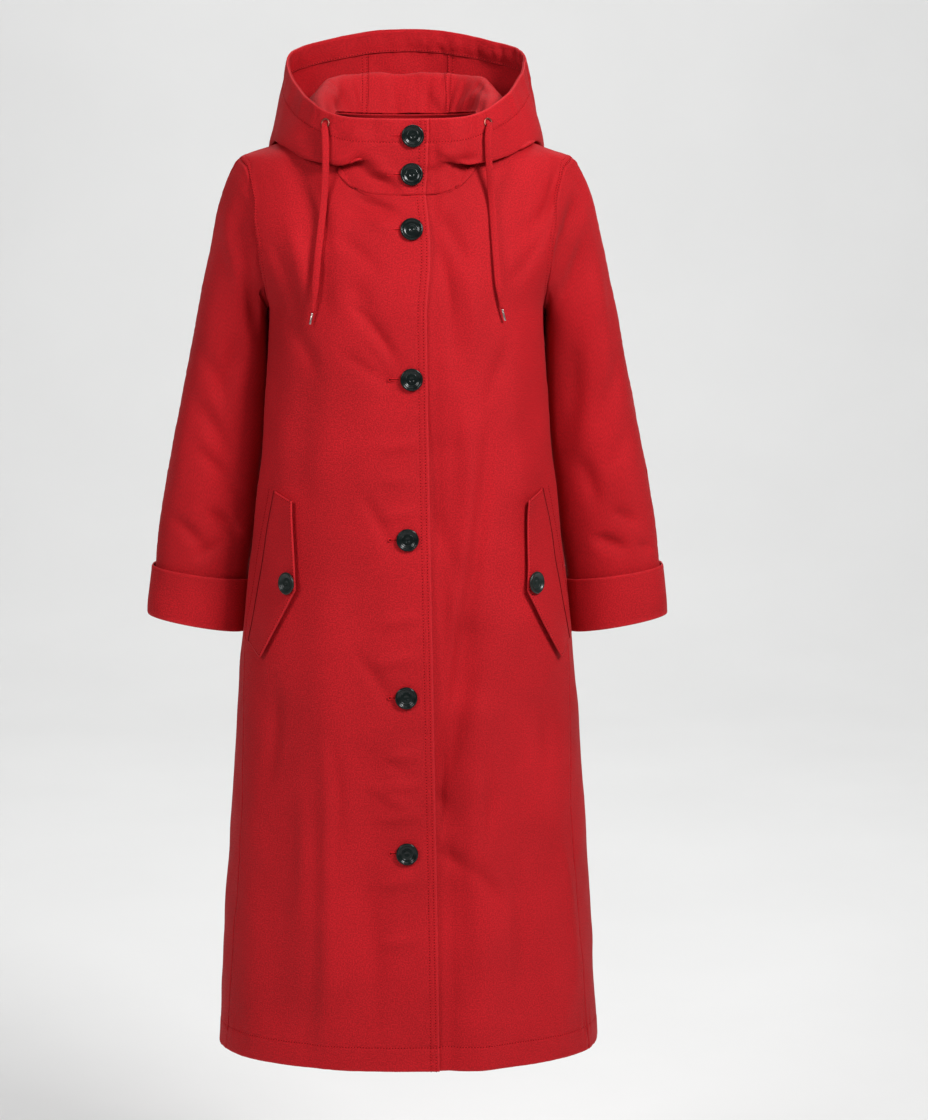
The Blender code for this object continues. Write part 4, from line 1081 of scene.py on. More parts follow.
SLEEVE_FOLDS = {
    "right_front": (
        (-0.1880, -0.0650, -0.1720, -0.2200, 0.009, -0.0026),
        (-0.2150, -0.0900, -0.1780, -0.1900, 0.010, -0.0024),
        (-0.2560, -0.3900, -0.2080, -0.4400, 0.009, -0.0020),
        (-0.2040, -0.0770, -0.1830, -0.1500, 0.009, -0.0030),
        (-0.2250, -0.1050, -0.1970, -0.2050, 0.011, 0.0014),
        (-0.1950, -0.1700, -0.1850, -0.2500, 0.010, -0.0024),
        (-0.2080, -0.2500, -0.2350, -0.3300, 0.013, -0.0022),
        (-0.2480, -0.2700, -0.2150, -0.3500, 0.010, -0.0014),
        (-0.2600, -0.3300, -0.2120, -0.4050, 0.011, -0.0018),
        (-0.2750, -0.3700, -0.2880, -0.4800, 0.016, 0.0010),
        (-0.2420, -0.4650, -0.2060, -0.4980, 0.008, -0.0026),
        (-0.2880, -0.4750, -0.2480, -0.5150, 0.009, -0.0018),
        (-0.2300, -0.5050, -0.2650, -0.5230, 0.007, -0.0016),
    ),
    "right_back": (
        (-0.2100, -0.0900, -0.1850, -0.1800, 0.011, -0.0030),
        (-0.2350, -0.1500, -0.2050, -0.2600, 0.012, -0.0016),
        (-0.2100, -0.2900, -0.2600, -0.3400, 0.010, -0.0026),
        (-0.2150, -0.3500, -0.2650, -0.3850, 0.009, -0.0020),
        (-0.2400, -0.4200, -0.2800, -0.4900, 0.013, -0.0016),
        (-0.2200, -0.4800, -0.2600, -0.5150, 0.009, -0.0018),
    ),
    "left_front": (
        (0.2080, -0.0770, 0.1790, -0.1680, 0.009, -0.0034),
        (0.2240, -0.1010, 0.1860, -0.2200, 0.011, -0.0022),
        (0.2300, -0.0750, 0.2460, -0.3400, 0.007, 0.0007),
        (0.1990, -0.2540, 0.1920, -0.3900, 0.016, -0.0024),
        (0.2130, -0.0720, 0.1900, -0.1400, 0.009, -0.0024),
        (0.2280, -0.1150, 0.2000, -0.2100, 0.012, -0.0018),
        (0.2420, -0.1500, 0.2250, -0.2500, 0.013, 0.0012),
        (0.2060, -0.2300, 0.2060, -0.3700, 0.014, -0.0009),
        (0.2620, -0.2700, 0.2300, -0.3650, 0.012, -0.0014),
        (0.2750, -0.3600, 0.2450, -0.4200, 0.010, -0.0012),
        (0.2120, -0.4000, 0.2350, -0.4600, 0.011, -0.0018),
        (0.2520, -0.4650, 0.2880, -0.4830, 0.008, -0.0016),
        (0.2300, -0.4980, 0.2720, -0.5120, 0.008, -0.0028),
        (0.2850, -0.5050, 0.3050, -0.5180, 0.007, -0.0014),
    ),
    "left_back": (
        (0.2080, -0.0850, 0.1880, -0.1700, 0.010, -0.0028),
        (0.2300, -0.1700, 0.2100, -0.2600, 0.012, -0.0014),
        (0.2700, -0.2900, 0.2200, -0.3400, 0.010, -0.0022),
        (0.2650, -0.3500, 0.2120, -0.3900, 0.010, -0.0024),
        (0.2800, -0.4300, 0.2450, -0.4950, 0.012, -0.0014),
        (0.2250, -0.4850, 0.2750, -0.5100, 0.009, -0.0020),
    ),
}


def sleeve_ring(sizes, share, turn, arm_points=None):
    """Points round a sleeve or cuff, from the underarm line at turn 0 to the overarm line at pi."""
    under = np.array([sizes["under_x"](share), sizes["under_z"](share)])
    over = np.array([sizes["over_x"](share), sizes["over_z"](share)])
    middle = sizes["middle_y"](share) if "middle_y" in sizes else CUFF_MIDDLE_Y
    oval = under + (over - under) * ((1 - np.cos(turn)) / 2)[:, None]
    depth = sizes["half_depth"](share) * np.sign(np.sin(turn)) * np.abs(np.sin(turn)) ** SQUARE
    points = np.stack([oval[:, 0], middle + depth, oval[:, 1]], axis=-1)
    if arm_points is None:
        return points
    low = arm_points[0, [0, 2]]
    high = arm_points[-1, [0, 2]]
    climb = (arm_points[:, 2] - low[1]) / (high[1] - low[1])
    aside = arm_points[:, 0] - between(low[0], high[0], climb)
    shaped = under + (over - under) * climb[:, None]
    as_armhole = np.stack([shaped[:, 0] + aside, arm_points[:, 1] + middle, shaped[:, 1]], axis=-1)
    return between(as_armhole, points, sizes["fullness"](share))


def ring_normals(points):
    """Directions out of closed rings whose first and last columns are the same line."""
    closed = np.concatenate([points[:, -2:-1], points, points[:, 1:2]], axis=1)
    around = np.gradient(closed, axis=1)
    up = np.gradient(closed, axis=0)
    return unit(np.cross(around, up))[:, 1:-1]


# %% Make the sleeves
SEAM_SINK = 2.2
SEAM_TUCK = 0.0035
TUCK_DEPTH = 0.0020
SLEEVE_BULGE = 0.0062
BULGE_Z = -0.234
BULGE_HEIGHT = 0.032


def make_sleeve(side_name):
    """Both halves of a sleeve, from the armhole to inside the cuff."""
    side = SIDES[side_name]
    even = graded(0.20, turned_start=0.008, turned_end=0.010)
    shares = arm_share(even)
    height = between(UNDERARM, SHOULDER_POINT, shares)
    front_seam = on_form(armhole_angle(shares, "front"), height)
    back_seam = on_form(180 - armhole_angle(shares, "back"), height)
    rings = []
    for row in graded(0.60, turned_start=0.010):
        front = sleeve_ring(sleeve, row, -np.pi * even, front_seam)
        back = sleeve_ring(sleeve, row, np.pi * even, back_seam)
        rings.append(np.concatenate([front[::-1], back[1:]]))
    points = np.array(rings)
    out = ring_normals(points)
    points[..., 0] *= side
    out[..., 0] *= side
    towards_body = smooth_step((0.25 - side * out[..., 0]) / 0.3)
    underarm = len(even) - 1
    halves = {"front": slice(0, underarm + 1), "back": slice(underarm, None)}
    for half, columns in halves.items():
        base = points[:, columns]
        normal = out[:, columns]
        name = side_name + "_" + half
        distance = edge_distances(base)
        push = fold_height(base[..., 0], base[..., 2], SLEEVE_FOLDS[name], tapered=True)
        push = push * smooth_step((0.97 - np.abs(normal[..., 0])) / 0.30)
        push = push + uneven(base, 40 + len(name) + int(side), 0.075, 0.0006)
        push = push - np.maximum(push, 0.0) * towards_body[:, columns]
        if half == "back":
            push = push + SLEEVE_BULGE * towards_body[:, columns] * bell(
                base[..., 2] - BULGE_Z, BULGE_HEIGHT)
        for edge in ("left", "right"):
            push = push + pressed_seam(distance[edge])
            push = push + pucker(distance[edge], distance["bottom"], 50 + len(edge) + int(side))
        push = push + SEAM_SINK * pressed_seam(distance["bottom"])
        push = push + pucker(distance["bottom"], distance["left"], 55, 0.0006, 0.014)
        over = distance["left" if half == "front" else "right"]
        # A paler line beside the overarm seam: partly wear, partly a painted highlight.
        wear_and_highlight = 0.20 * bell(over - 0.0022, 0.0016)
        shaped = base + normal * push[..., None]
        tuck = shaped[:1] + unit(shaped[:1] - shaped[1:2]) * SEAM_TUCK - normal[:1] * TUCK_DEPTH
        shaped = np.concatenate([tuck, shaped])
        normal = np.concatenate([normal[:1], normal])
        make_sheet("sleeve_" + name + "_cloth", shaped, normal, np.concatenate([wear_and_highlight[:1], wear_and_highlight]),
                   CLOTH, edge_distances(shaped), ["sleeve_" + name])


make_sleeve("right")
make_sleeve("left")
print("sleeves", [s for s in sheets if s.startswith("sleeve")])

# %% [markdown]
# The cuff is the end of the sleeve turned up, so it is doubled cloth with a fold at the bottom and
# a free edge at the top. It stands a little away from the sleeve, and its width is not quite even.

# %% Make the cuffs
def make_cuff(side_name):
    """A turned-up cuff: down its outside, round the fold and under the end of the sleeve."""
    side = SIDES[side_name]
    turn = 2 * np.pi * graded(0.36, turned_start=0.006, turned_end=0.006)
    rows = np.concatenate([0.90 * graded(0.066, turned_start=0.010),
                           0.90 + 0.10 * np.linspace(0.0, 1.0, 11)[1:]])
    base = np.array([sleeve_ring(cuff, row, turn) for row in rows])
    out = ring_normals(base)
    base[..., 0] *= side
    out[..., 0] *= side
    distance = edge_distances(base)
    push = uneven(base, 60 + int(side), 0.060, 0.0006)
    push = push + stitched_edge(distance["bottom"], 0.004, proud=0.0002, groove=0.0)
    push = push + pucker(distance["bottom"], distance["left"], 62 + int(side), 0.0005, 0.014)
    for edge in ("left", "right"):
        push = push + pressed_seam(distance[edge])
    push = push * (1 - smooth_step((rows - 0.88) / 0.08))[:, None]
    # Paler free edge and fold of the cuff: partly wear, partly a painted highlight.
    wear_and_highlight = 0.15 * bell(distance["bottom"], 0.0016)
    wear_and_highlight = wear_and_highlight + 0.25 * bell(rows - 0.93, 0.03)[:, None]
    make_sheet("cuff_" + side_name + "_cloth", base + out * push[..., None], out, wear_and_highlight,
               DOUBLE_CLOTH, distance, ["cuff_" + side_name])


make_cuff("right")
make_cuff("left")

# %% [markdown]
# ## Hood
#
# The hood lies on the shoulders. From the neck seam its cloth climbs to a ridge round the neck,
# drops into a fold on the shoulders, and climbs again to the face edge, which stands open. Five
# rings describe that: the neckline, the ridge, the two sides of the fold and the face edge. Smooth
# curves run through the rings both ways, so the cloth rolls over softly instead of bending sharply.

# %% Hood rings
HOOD_RINGS = np.array((
    ((0.0000, -0.0995, -0.0480), (0.0000, -0.1000, -0.0280), (0.0000, -0.1005, -0.0080),
     (0.0000, -0.1000, 0.0150)),
    ((0.0350, -0.0980, -0.0470), (0.0365, -0.0985, -0.0290), (0.0375, -0.1000, -0.0100),
     (0.0380, -0.0990, 0.0155)),
    ((0.0610, -0.0860, -0.0270), (0.0650, -0.0935, -0.0395), (0.0680, -0.1000, -0.0300),
     (0.0700, -0.0930, 0.0175)),
    ((0.0770, -0.0690, -0.0040), (0.0850, -0.0825, -0.0350), (0.0905, -0.0920, -0.0330),
     (0.0940, -0.0785, 0.0240)),
    ((0.0890, -0.0530, 0.0060), (0.1120, -0.0600, -0.0210), (0.1225, -0.0690, -0.0265),
     (0.1100, -0.0590, 0.0340)),
    ((0.0990, -0.0310, 0.0200), (0.1350, -0.0290, -0.0040), (0.1490, -0.0350, -0.0150),
     (0.1270, -0.0270, 0.0480)),
    ((0.1060, 0.0020, 0.0380), (0.1460, 0.0080, 0.0010), (0.1615, 0.0060, -0.0095),
     (0.1400, 0.0120, 0.0660)),
    ((0.1040, 0.0340, 0.0520), (0.1500, 0.0460, -0.0110), (0.1680, 0.0520, -0.0250),
     (0.1466, 0.0480, 0.0820)),
    ((0.0980, 0.0560, 0.0600), (0.1440, 0.0800, -0.0400), (0.1630, 0.0980, -0.0520),
     (0.1420, 0.0820, 0.0970)),
    ((0.0800, 0.0740, 0.0630), (0.1150, 0.1080, -0.0700), (0.1290, 0.1430, -0.0760),
     (0.1070, 0.1120, 0.1090)),
    ((0.0470, 0.0870, 0.0630), (0.0470, 0.1270, -0.0920), (0.0490, 0.1680, -0.0980),
     (0.0500, 0.1340, 0.1210)),
    ((0.0000, 0.0900, 0.0630), (0.0000, 0.1310, -0.0960), (0.0000, 0.1730, -0.1040),
     (0.0000, 0.1400, 0.1240)),
))
GUSSET_STATION = 10.0
CHANNEL_STATION = 2.0
CHANNEL_DEPTH = 0.028
CHANNEL_CLOTH = 0.0010
CHANNEL_GAP = 0.0007
CHANNEL_PUFF = 0.0046


def hood_rings(stations):
    """The five rings of the hood at each station, from the neckline to the face edge."""
    last = len(HOOD_RINGS) - 1
    stations = np.mod(stations, ALL_STATIONS)
    side = np.where(stations > last, -1.0, 1.0)
    wrapped = np.where(stations > last, ALL_STATIONS - stations, stations)
    base = np.minimum(wrapped, last - 1e-9).astype(int)
    share = (wrapped - base)[:, None, None]
    around = []
    for step in (-1, 0, 1, 2):
        index = base + step
        flip = np.where((index < 0) | (index > last), -1.0, 1.0)
        index = np.where(index < 0, -index, np.where(index > last, 2 * last - index, index))
        ring = HOOD_RINGS[index].copy()
        ring[..., 0] *= flip[:, None]
        around.append(ring)
    rings = spline_point(*around, share)
    neckline = on_form(neck["angle"](wrapped), neck["height"](wrapped))
    rings = np.concatenate([neckline[:, None], rings], axis=1)
    rings[..., 0] *= side[:, None]
    return rings


def hood_points(stations, shares):
    """Points of the hood, a row for each share from the neckline, a column for each station."""
    rings = hood_rings(stations).transpose(1, 0, 2)
    padded = np.concatenate([2 * rings[:1] - rings[1:2], rings, 2 * rings[-1:] - rings[-2:-1]])
    place = shares * (len(rings) - 1)
    base = np.minimum(place, len(rings) - 2).astype(int)
    t = (place - base)[:, None, None]
    return spline_point(padded[base], padded[base + 1], padded[base + 2], padded[base + 3], t)


def hood_grid(stations, shares):
    """Outer face of the hood and its directions out."""
    points = hood_points(stations, shares)
    around = hood_points(stations + 0.04, shares) - hood_points(stations - 0.04, shares)
    up = hood_points(stations, np.minimum(shares + 0.008, 1.0)) - hood_points(
        stations, np.maximum(shares - 0.008, 0.0))
    return points, unit(np.cross(around, up))


# %% [markdown]
# The cloth of the hood is gathered a little by its drawstring channel, so the band at the face
# edge has short wrinkles across it, strongest at the back towards the wearer's left. Where the fold
# ends at the front, short creases pull the cloth in on both sides. The hood and the channel inside
# it share the wrinkles of the band, so that neither cuts through the other.

# %% Hood relief
HOOD_CREASES = (
    (-0.052, -0.046, -0.012, -0.050, 0.0060, 0.0012),
    (0.020, -0.050, 0.058, -0.040, 0.0070, -0.0010),
    (-0.046, -0.034, -0.066, -0.040, 0.0080, -0.0006),
    (-0.056, -0.040, -0.022, -0.066, 0.0085, -0.0020),
    (-0.034, -0.052, -0.006, -0.072, 0.0060, -0.0014),
    (0.030, -0.020, 0.060, -0.030, 0.0060, 0.0008),
    (-0.042, -0.030, -0.020, -0.046, 0.0080, 0.0008),
    (0.058, -0.035, 0.092, -0.031, 0.0060, -0.0016),
    (0.060, -0.044, 0.048, -0.064, 0.0080, -0.0012),
    (0.046, -0.026, 0.034, -0.048, 0.0090, 0.0007),
    (-0.110, 0.005, -0.128, -0.012, 0.0090, -0.0009),
    (0.112, 0.006, 0.130, -0.010, 0.0080, -0.0009),
    (-0.070, -0.010, -0.050, 0.004, 0.0080, 0.0008),
)
RIDGE_CREASES = (
    (-0.086, 0.054, -0.094, 0.026, 0.0050, -0.0014),
    (-0.080, 0.052, -0.074, 0.024, 0.0060, 0.0011),
    (0.094, 0.052, 0.060, 0.020, 0.0055, -0.0014),
    (0.086, 0.056, 0.102, 0.034, 0.0060, 0.0011),
    (0.030, 0.050, 0.046, 0.026, 0.0060, -0.0010),
)
CHANNEL_WRINKLE = 0.0028
RIDGE_WRINKLE = 0.0024
BAND_BUMPS = ((72, 0.060, 0.0010), (73, 0.024, 0.00030))


def band_bumps(points, push):
    """A push with the slow bumps added that the hood and its channel share."""
    for seed, size, depth in BAND_BUMPS:
        push = push + uneven(points, seed, size, depth)
    return push


def channel_wrinkles(points, to_face):
    """Wrinkles across the drawstring channel, which die away below its stitches."""
    along = np.arctan2(points[..., 0], points[..., 1]) * 0.15
    strength = 0.35 + 0.65 * smooth_step((points[..., 1] - 0.02) / 0.05) * (
        0.55 + 0.45 * np.tanh(points[..., 0] / 0.03))
    reach = smooth_step((0.034 - to_face) / 0.010) * (0.4 + 0.6 * smooth_step(to_face / 0.008))
    return CHANNEL_WRINKLE * strength * reach * ripple(along * 0.75, 71)


def ridge_wrinkles(points):
    """Wrinkles over the ridge round the neck, and the folds under its two corners."""
    along = np.arctan2(points[..., 0], points[..., 1]) * 0.12
    reach = smooth_step(points[..., 1] / 0.05) * bell(points[..., 2] - 0.040, 0.022)
    from_middle = np.hypot(points[..., 0], points[..., 1])
    inner = smooth_step((0.128 - from_middle) / 0.02) * smooth_step(points[..., 1] / 0.02)
    corners = fold_height(points[..., 0], points[..., 2], RIDGE_CREASES, tapered=True)
    return RIDGE_WRINKLE * reach * ripple(along * 0.6, 77) + inner * corners


def hood_relief(points, distance, seed):
    """Creases, wrinkles and seams that every part of the hood shares."""
    front = smooth_step((0.02 - points[..., 1]) / 0.02)
    push = front * fold_height(points[..., 0], points[..., 2], HOOD_CREASES, tapered=True)
    push = band_bumps(points, push)
    push = push + channel_wrinkles(points, distance["top"]) + ridge_wrinkles(points)
    push = push + stitched_edge(distance["top"], CHANNEL_DEPTH, proud=0.0, groove=0.0007)
    push = push + pucker(distance["top"] - CHANNEL_DEPTH, distance["left"], seed, 0.0005, 0.010)
    push = push + pressed_seam(distance["bottom"])
    return push + pucker(distance["bottom"], distance["left"], seed + 1, 0.0004)


def face_rows():
    """Shares up the hood, fine at the neck seam and in the drawstring channel."""
    return graded(0.30, turned_start=0.006, turned_end=0.032)


# %% Make the hood
GUSSET_STITCHES = (0.0018, 0.0078)


def make_hood_side(side_name):
    """A side of the hood, from its lap at centre front to the gusset seam at the back."""
    side = SIDES[side_name]
    first = -float(lap[side_name](neck["height"](0.0))) / NECK_STATION_WIDTH
    stations = first + (GUSSET_STATION - first) * graded(0.40, 0.016, 0.012)
    points, out = hood_grid(stations, face_rows())
    distance = edge_distances(points)
    points[..., 0] *= side
    out[..., 0] *= side
    push = hood_relief(points, distance, 74 + int(side))
    push = push + pressed_seam(distance["right"])
    for line in GUSSET_STITCHES:
        push = push - 0.0004 * bell(distance["right"] - line, 0.0014)
    push = push + stitched_edge(distance["left"], PLACKET_STITCH, proud=0.0004)
    push = push + pucker(distance["left"] - PLACKET_STITCH, distance["bottom"], 79, 0.0004)
    if side > 0:
        under = (points[..., 1] < 0) * under_lap(points[..., 0], points[..., 2])
        push = between(push, np.minimum(push, 0.0002), under) - UNDERLAP_DROP * under
    # Paler face and lap edges: partly wear, partly a painted highlight.
    wear_and_highlight = 0.45 * bell(distance["top"], 0.0016)
    wear_and_highlight = wear_and_highlight + 0.40 * bell(distance["left"], 0.0014)
    make_sheet("hood_" + side_name + "_cloth", points + out * push[..., None], out,
               np.clip(wear_and_highlight, 0.0, 1.0), CLOTH, distance, ["hood_" + side_name])


def make_hood_centre():
    """The gusset between the two sides of the hood."""
    stations = GUSSET_STATION + (ALL_STATIONS - 2 * GUSSET_STATION) * graded(0.11, 0.004, 0.004)
    points, out = hood_grid(stations, face_rows())
    distance = edge_distances(points)
    push = hood_relief(points, distance, 80)
    push = push + pressed_seam(distance["left"]) + pressed_seam(distance["right"])
    # A paler face edge: partly wear, partly a painted highlight.
    wear_and_highlight = 0.7 * bell(distance["top"], 0.0016)
    make_sheet("hood_centre_cloth", points + out * push[..., None], out, wear_and_highlight, CLOTH, distance,
               ["hood_centre"])


def make_channel():
    """The drawstring channel: a band inside the face edge, from front to front round the back."""
    stations = np.linspace(CHANNEL_STATION, ALL_STATIONS - CHANNEL_STATION, 190)
    fine = np.linspace(0.70, 1.0, 200)
    lines = hood_points(stations, fine)
    to_face = run_along(lines[::-1], axis=0)[::-1]
    wanted = CHANNEL_DEPTH * (1 - graded(CHANNEL_DEPTH, turned_start=0.006))
    shares = np.array([np.interp(-wanted, -to_face[:, i], fine) for i in range(len(stations))])
    points = np.empty((len(wanted), len(stations), 3))
    out = np.empty_like(points)
    for i, station in enumerate(stations):
        face, face_out = hood_grid(np.array([station]), shares[i])
        points[:, i] = face[:, 0]
        out[:, i] = face_out[:, 0]
    distance = edge_distances(points)
    push = band_bumps(points, 0.0)
    push = push + channel_wrinkles(points, distance["top"]) - CLOTH - CHANNEL_GAP
    inward = 0.5 + 0.5 * ripple(distance["left"], 82)
    push = push - CHANNEL_PUFF * inward * np.sin(np.pi * distance["top"] / CHANNEL_DEPTH) ** 2 * (
        0.35 + 0.65 * smooth_step((points[..., 0] + 0.03) / 0.08))
    # A paler lower edge of the channel: partly wear, partly a painted highlight.
    wear_and_highlight = 0.5 * bell(distance["bottom"], 0.0014)
    make_sheet("hood_channel_cloth", points + out * push[..., None], out, wear_and_highlight, CHANNEL_CLOTH,
               distance, ["hood_channel"])


make_hood_side("right")
make_hood_side("left")
make_hood_centre()
make_channel()
print("hood", [s for s in sheets if s.startswith("hood")])

# %% [markdown]
# ## Pocket flaps
#
# A flap is doubled cloth, sewn along its slanted outer edge and lying on the front. Its points are
# worked out from the front's own surface and moved out, so it follows every fold under it and only
# its free edge stands off a little.

# %% Make the pocket flaps
FLAP_CORNERS = ("seam_top", "seam_low", "free_top", "free_corner", "free_tip")
FLAPS = {
    "flap_right": ((-0.1575, -0.4310), (-0.1915, -0.6190), (-0.1325, -0.4405),
                   (-0.1290, -0.5475), (-0.1725, -0.6340)),
    "flap_left": ((0.1655, -0.4290), (0.1985, -0.6180), (0.1435, -0.4410),
                  (0.1430, -0.5495), (0.1830, -0.6350)),
}
FLAP_BEND = 0.5
FLAP_LIFT = 0.0006
FLAP_FREE_LIFT = 0.0058
FLAP_STITCH = 0.0022


def make_flap(name):
    """A slanted pocket flap with its point at the bottom."""
    corner = {key: np.array(place) for key, place in zip(FLAP_CORNERS, FLAPS[name])}
    half = graded(0.095, turned_start=0.006)
    rows = np.concatenate([FLAP_BEND * half, 1 - (1 - FLAP_BEND) * half[::-1][1:]])
    sewn = between(corner["seam_top"], corner["seam_low"], rows[:, None])
    upper = between(corner["free_top"], corner["free_corner"], rows[:, None] / FLAP_BEND)
    lower = between(corner["free_corner"], corner["free_tip"],
                    (rows[:, None] - FLAP_BEND) / (1 - FLAP_BEND))
    free = np.where(rows[:, None] <= FLAP_BEND, upper, lower)
    across = graded(0.045, turned_start=0.004, turned_end=0.008)
    angles = between(angle_at(sewn[:, 0], sewn[:, 1])[:, None],
                     angle_at(free[:, 0], free[:, 1])[:, None], across[None, :])
    heights = between(sewn[:, 1][:, None], free[:, 1][:, None], across[None, :])
    base, out = cloth_face(angles, heights)
    distance = edge_distances(base)
    push = FLAP_LIFT + DOUBLE_CLOTH + FLAP_FREE_LIFT * across[None, :] ** 2
    push = push + uneven(base, 90 + len(name), 0.05, 0.0003)
    nearest = np.minimum(np.minimum(distance["bottom"], distance["top"]), distance["right"])
    push = push + stitched_edge(nearest, FLAP_STITCH, proud=0.0003, groove=0.0004)
    push = push - 0.0012 * bell(distance["left"], 0.0020)
    # Paler flap edges: partly wear, partly a painted highlight.
    wear_and_highlight = 0.28 * bell(nearest, 0.0013)
    make_sheet(name + "_cloth", base + out * push[..., None], out, wear_and_highlight, DOUBLE_CLOTH, distance,
               [name])


for name in FLAPS:
    make_flap(name)
print("flaps", list(FLAPS))

# %% [markdown]
# ## Buttons and eyelets
#
# Each button lies on the highest cloth under it, so its place is read from the finished sheets: the
# frontmost part of the cloth round a spot of the front view. The buttons are turned resin, with a
# rounded rim and a sunk face, where one ring stands round a dimple. They are made without sewing
# holes, as if sewn on through a loop behind, which is a guess. An eyelet is a ring of metal, as if
# rolled over the edge of a hole, but the cloth under it is whole.

# %% Places on the finished cloth
def front_spot(name, x, z, reach):
    """The top of the cloth round a spot of the front view, and the direction out of it."""
    points = sheets[name]["points"]
    out = sheets[name]["out"]
    away = np.hypot(points[..., 0] - x, points[..., 2] - z)
    near = (away < reach) & (out[..., 1] < 0)
    near = near & (points[..., 1] < points[..., 1][near].min() + 0.02)
    weight = bell(away[near], reach / 2)[:, None]
    place = (points[near] * weight).sum(axis=0) / weight.sum()
    direction = unit((out[near] * weight).sum(axis=0))
    level = ((points[near] - place) @ direction).max()
    return place + direction * level, direction


# %% Turn the buttons
BUTTON_SECTION = (
    (0.0000, 0.0000), (0.0098, 0.0000), (0.0116, 0.0003), (0.0129, 0.0010), (0.0135, 0.0020),
    (0.0134, 0.0029), (0.0129, 0.0036), (0.0121, 0.0039), (0.0113, 0.0037), (0.0106, 0.0031),
    (0.0100, 0.0025), (0.0092, 0.0020), (0.0082, 0.0016), (0.0074, 0.0014), (0.0070, 0.0011),
    (0.0066, 0.0013), (0.0055, 0.0012), (0.0042, 0.0013), (0.0034, 0.0016), (0.0028, 0.0013),
    (0.0018, 0.0009), (0.0008, 0.0007), (0.0000, 0.0007),
)
BUTTON_RADIUS = 0.0135
BUTTON_GAP = 0.0001
POCKET_LEAN = 0.25
BUTTONS = (
    ("button_1", "hood_right_cloth", 0.0080, -0.0054),
    ("button_2", "hood_right_cloth", 0.0068, -0.0510),
    ("button_3", "front_right_cloth", 0.0068, -0.1155),
    ("button_4", "front_right_cloth", 0.0055, -0.2915),
    ("button_5", "front_right_cloth", 0.0025, -0.4825),
    ("button_6", "front_right_cloth", 0.0012, -0.6730),
    ("button_7", "front_right_cloth", 0.0018, -0.8638),
    ("button_pocket_right", "flap_right_cloth", -0.1430, -0.5390),
    ("button_pocket_left", "flap_left_cloth", 0.1580, -0.5395),
)
for node, cloth_name, x, z in BUTTONS:
    place, out = front_spot(cloth_name, x, z, BUTTON_RADIUS)
    if "pocket" in node:
        out = unit(out + np.array([math.copysign(POCKET_LEAN, x), 0.0, 0.0]))
    mesh = spun(node + "_turned", BUTTON_SECTION, 72, facing(place + out * BUTTON_GAP, out))
    finish = pocket_resin if "pocket" in node else resin
    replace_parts(placed(node + "_turned", mesh, finish), node)
print(len(BUTTONS), "buttons,", BUTTON_RADIUS * 2000, "mm across")

# %% Roll the eyelets
EYELET_SECTION = round_section(0.0053, 0.0005, 0.0020, 0.0010, 12)
EYELET_REACH = 0.0065
eyelets = {}
for side_name, cord in CORDS.items():
    place, out = front_spot("hood_" + side_name + "_cloth", *cord["eyelet"], EYELET_REACH)
    name = "eyelet_" + side_name + "_ring"
    eyelets[side_name] = placed(name, spun(name, EYELET_SECTION, 48, facing(place, out)),
                                eyelet_metal)
    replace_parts(eyelets[side_name], "eyelet_" + side_name)
    print(name, "at", [round(float(v), 4) for v in place])

# %% [markdown]
# ## Stitches
#
# Topstitching is a row of short threads that lie on the cloth, each a little sunk at its two ends,
# with a needle hole between one and the next, drawn as a dark spot of painted shade. Every thread
# and every hole is a small ellipsoid with few faces, because there are thousands. A row follows a
# line at a fixed distance from an edge of a finished sheet, as a sewing machine's foot does.

# %% Rows of stitches
STITCH_PITCH = 0.0036
STITCH_SIZE = (0.0024, 0.00080, 0.00050)
NEEDLE_HOLE_SHADE = (0.0019, 0.0013, 0.00056)


def stitch_line(name, edge, distance, inside=False, start=0.0, end=1.0):
    """Places and ways out along a sheet, at a distance from one of its edges."""
    sheet = sheets[name]
    grids = [sheet["points"], sheet["out"], sheet["distance"][edge]]
    if edge in ("bottom", "top"):
        grids = [np.swapaxes(grid, 0, 1) for grid in grids]
    rows = []
    for points, out, away in zip(*grids):
        order = np.argsort(away)
        rows.append([np.interp(distance, away[order], values[order])
                     for values in (*points.T, *out.T)])
    rows = np.array(rows)[round(start * len(rows)):round(end * len(rows))]
    out = unit(rows[:, 3:])
    if inside:
        return rows[:, :3] - out * sheet["thickness"], -out
    return rows[:, :3], out


bm = bmesh.new()
bmesh.ops.create_uvsphere(bm, u_segments=6, v_segments=4, radius=0.5)
one_stitch = mesh_from(bm, "one_stitch")
stitch_shape = np.array([vertex.co for vertex in one_stitch.vertices])


def stitch_copies(name, places, along, out, size):
    """Copies of the stitch as one mesh, each with its own place, directions and size."""
    along = unit(np.asarray(along, float))
    out = np.asarray(out, float)
    up = unit(out - along * np.sum(out * along, axis=-1, keepdims=True))
    turn = np.stack([along, np.cross(up, along), up], axis=1) * np.asarray(size)[..., None]
    bm = bmesh.new()
    for _ in places:
        bm.from_mesh(one_stitch)
    mesh = mesh_from(bm, name)
    shapes = np.asarray(places)[:, None] + np.einsum("vi,nij->nvj", stitch_shape, turn)
    mesh.vertices.foreach_set("co", shapes.ravel())
    mesh.update()
    return mesh


def row_places(points, out, pitch, start):
    """Even places along a row, the direction along it there, and the way out."""
    run = run_along(points)
    number = max(2, round(run[-1] / pitch))
    at = (np.arange(number) + start) * run[-1] / number

    def read(values, where):
        return np.stack([np.interp(where, run, values[:, i]) for i in range(3)], axis=-1)

    along = read(points, at + pitch / 2) - read(points, at - pitch / 2)
    return read(points, at), along, read(out, at)


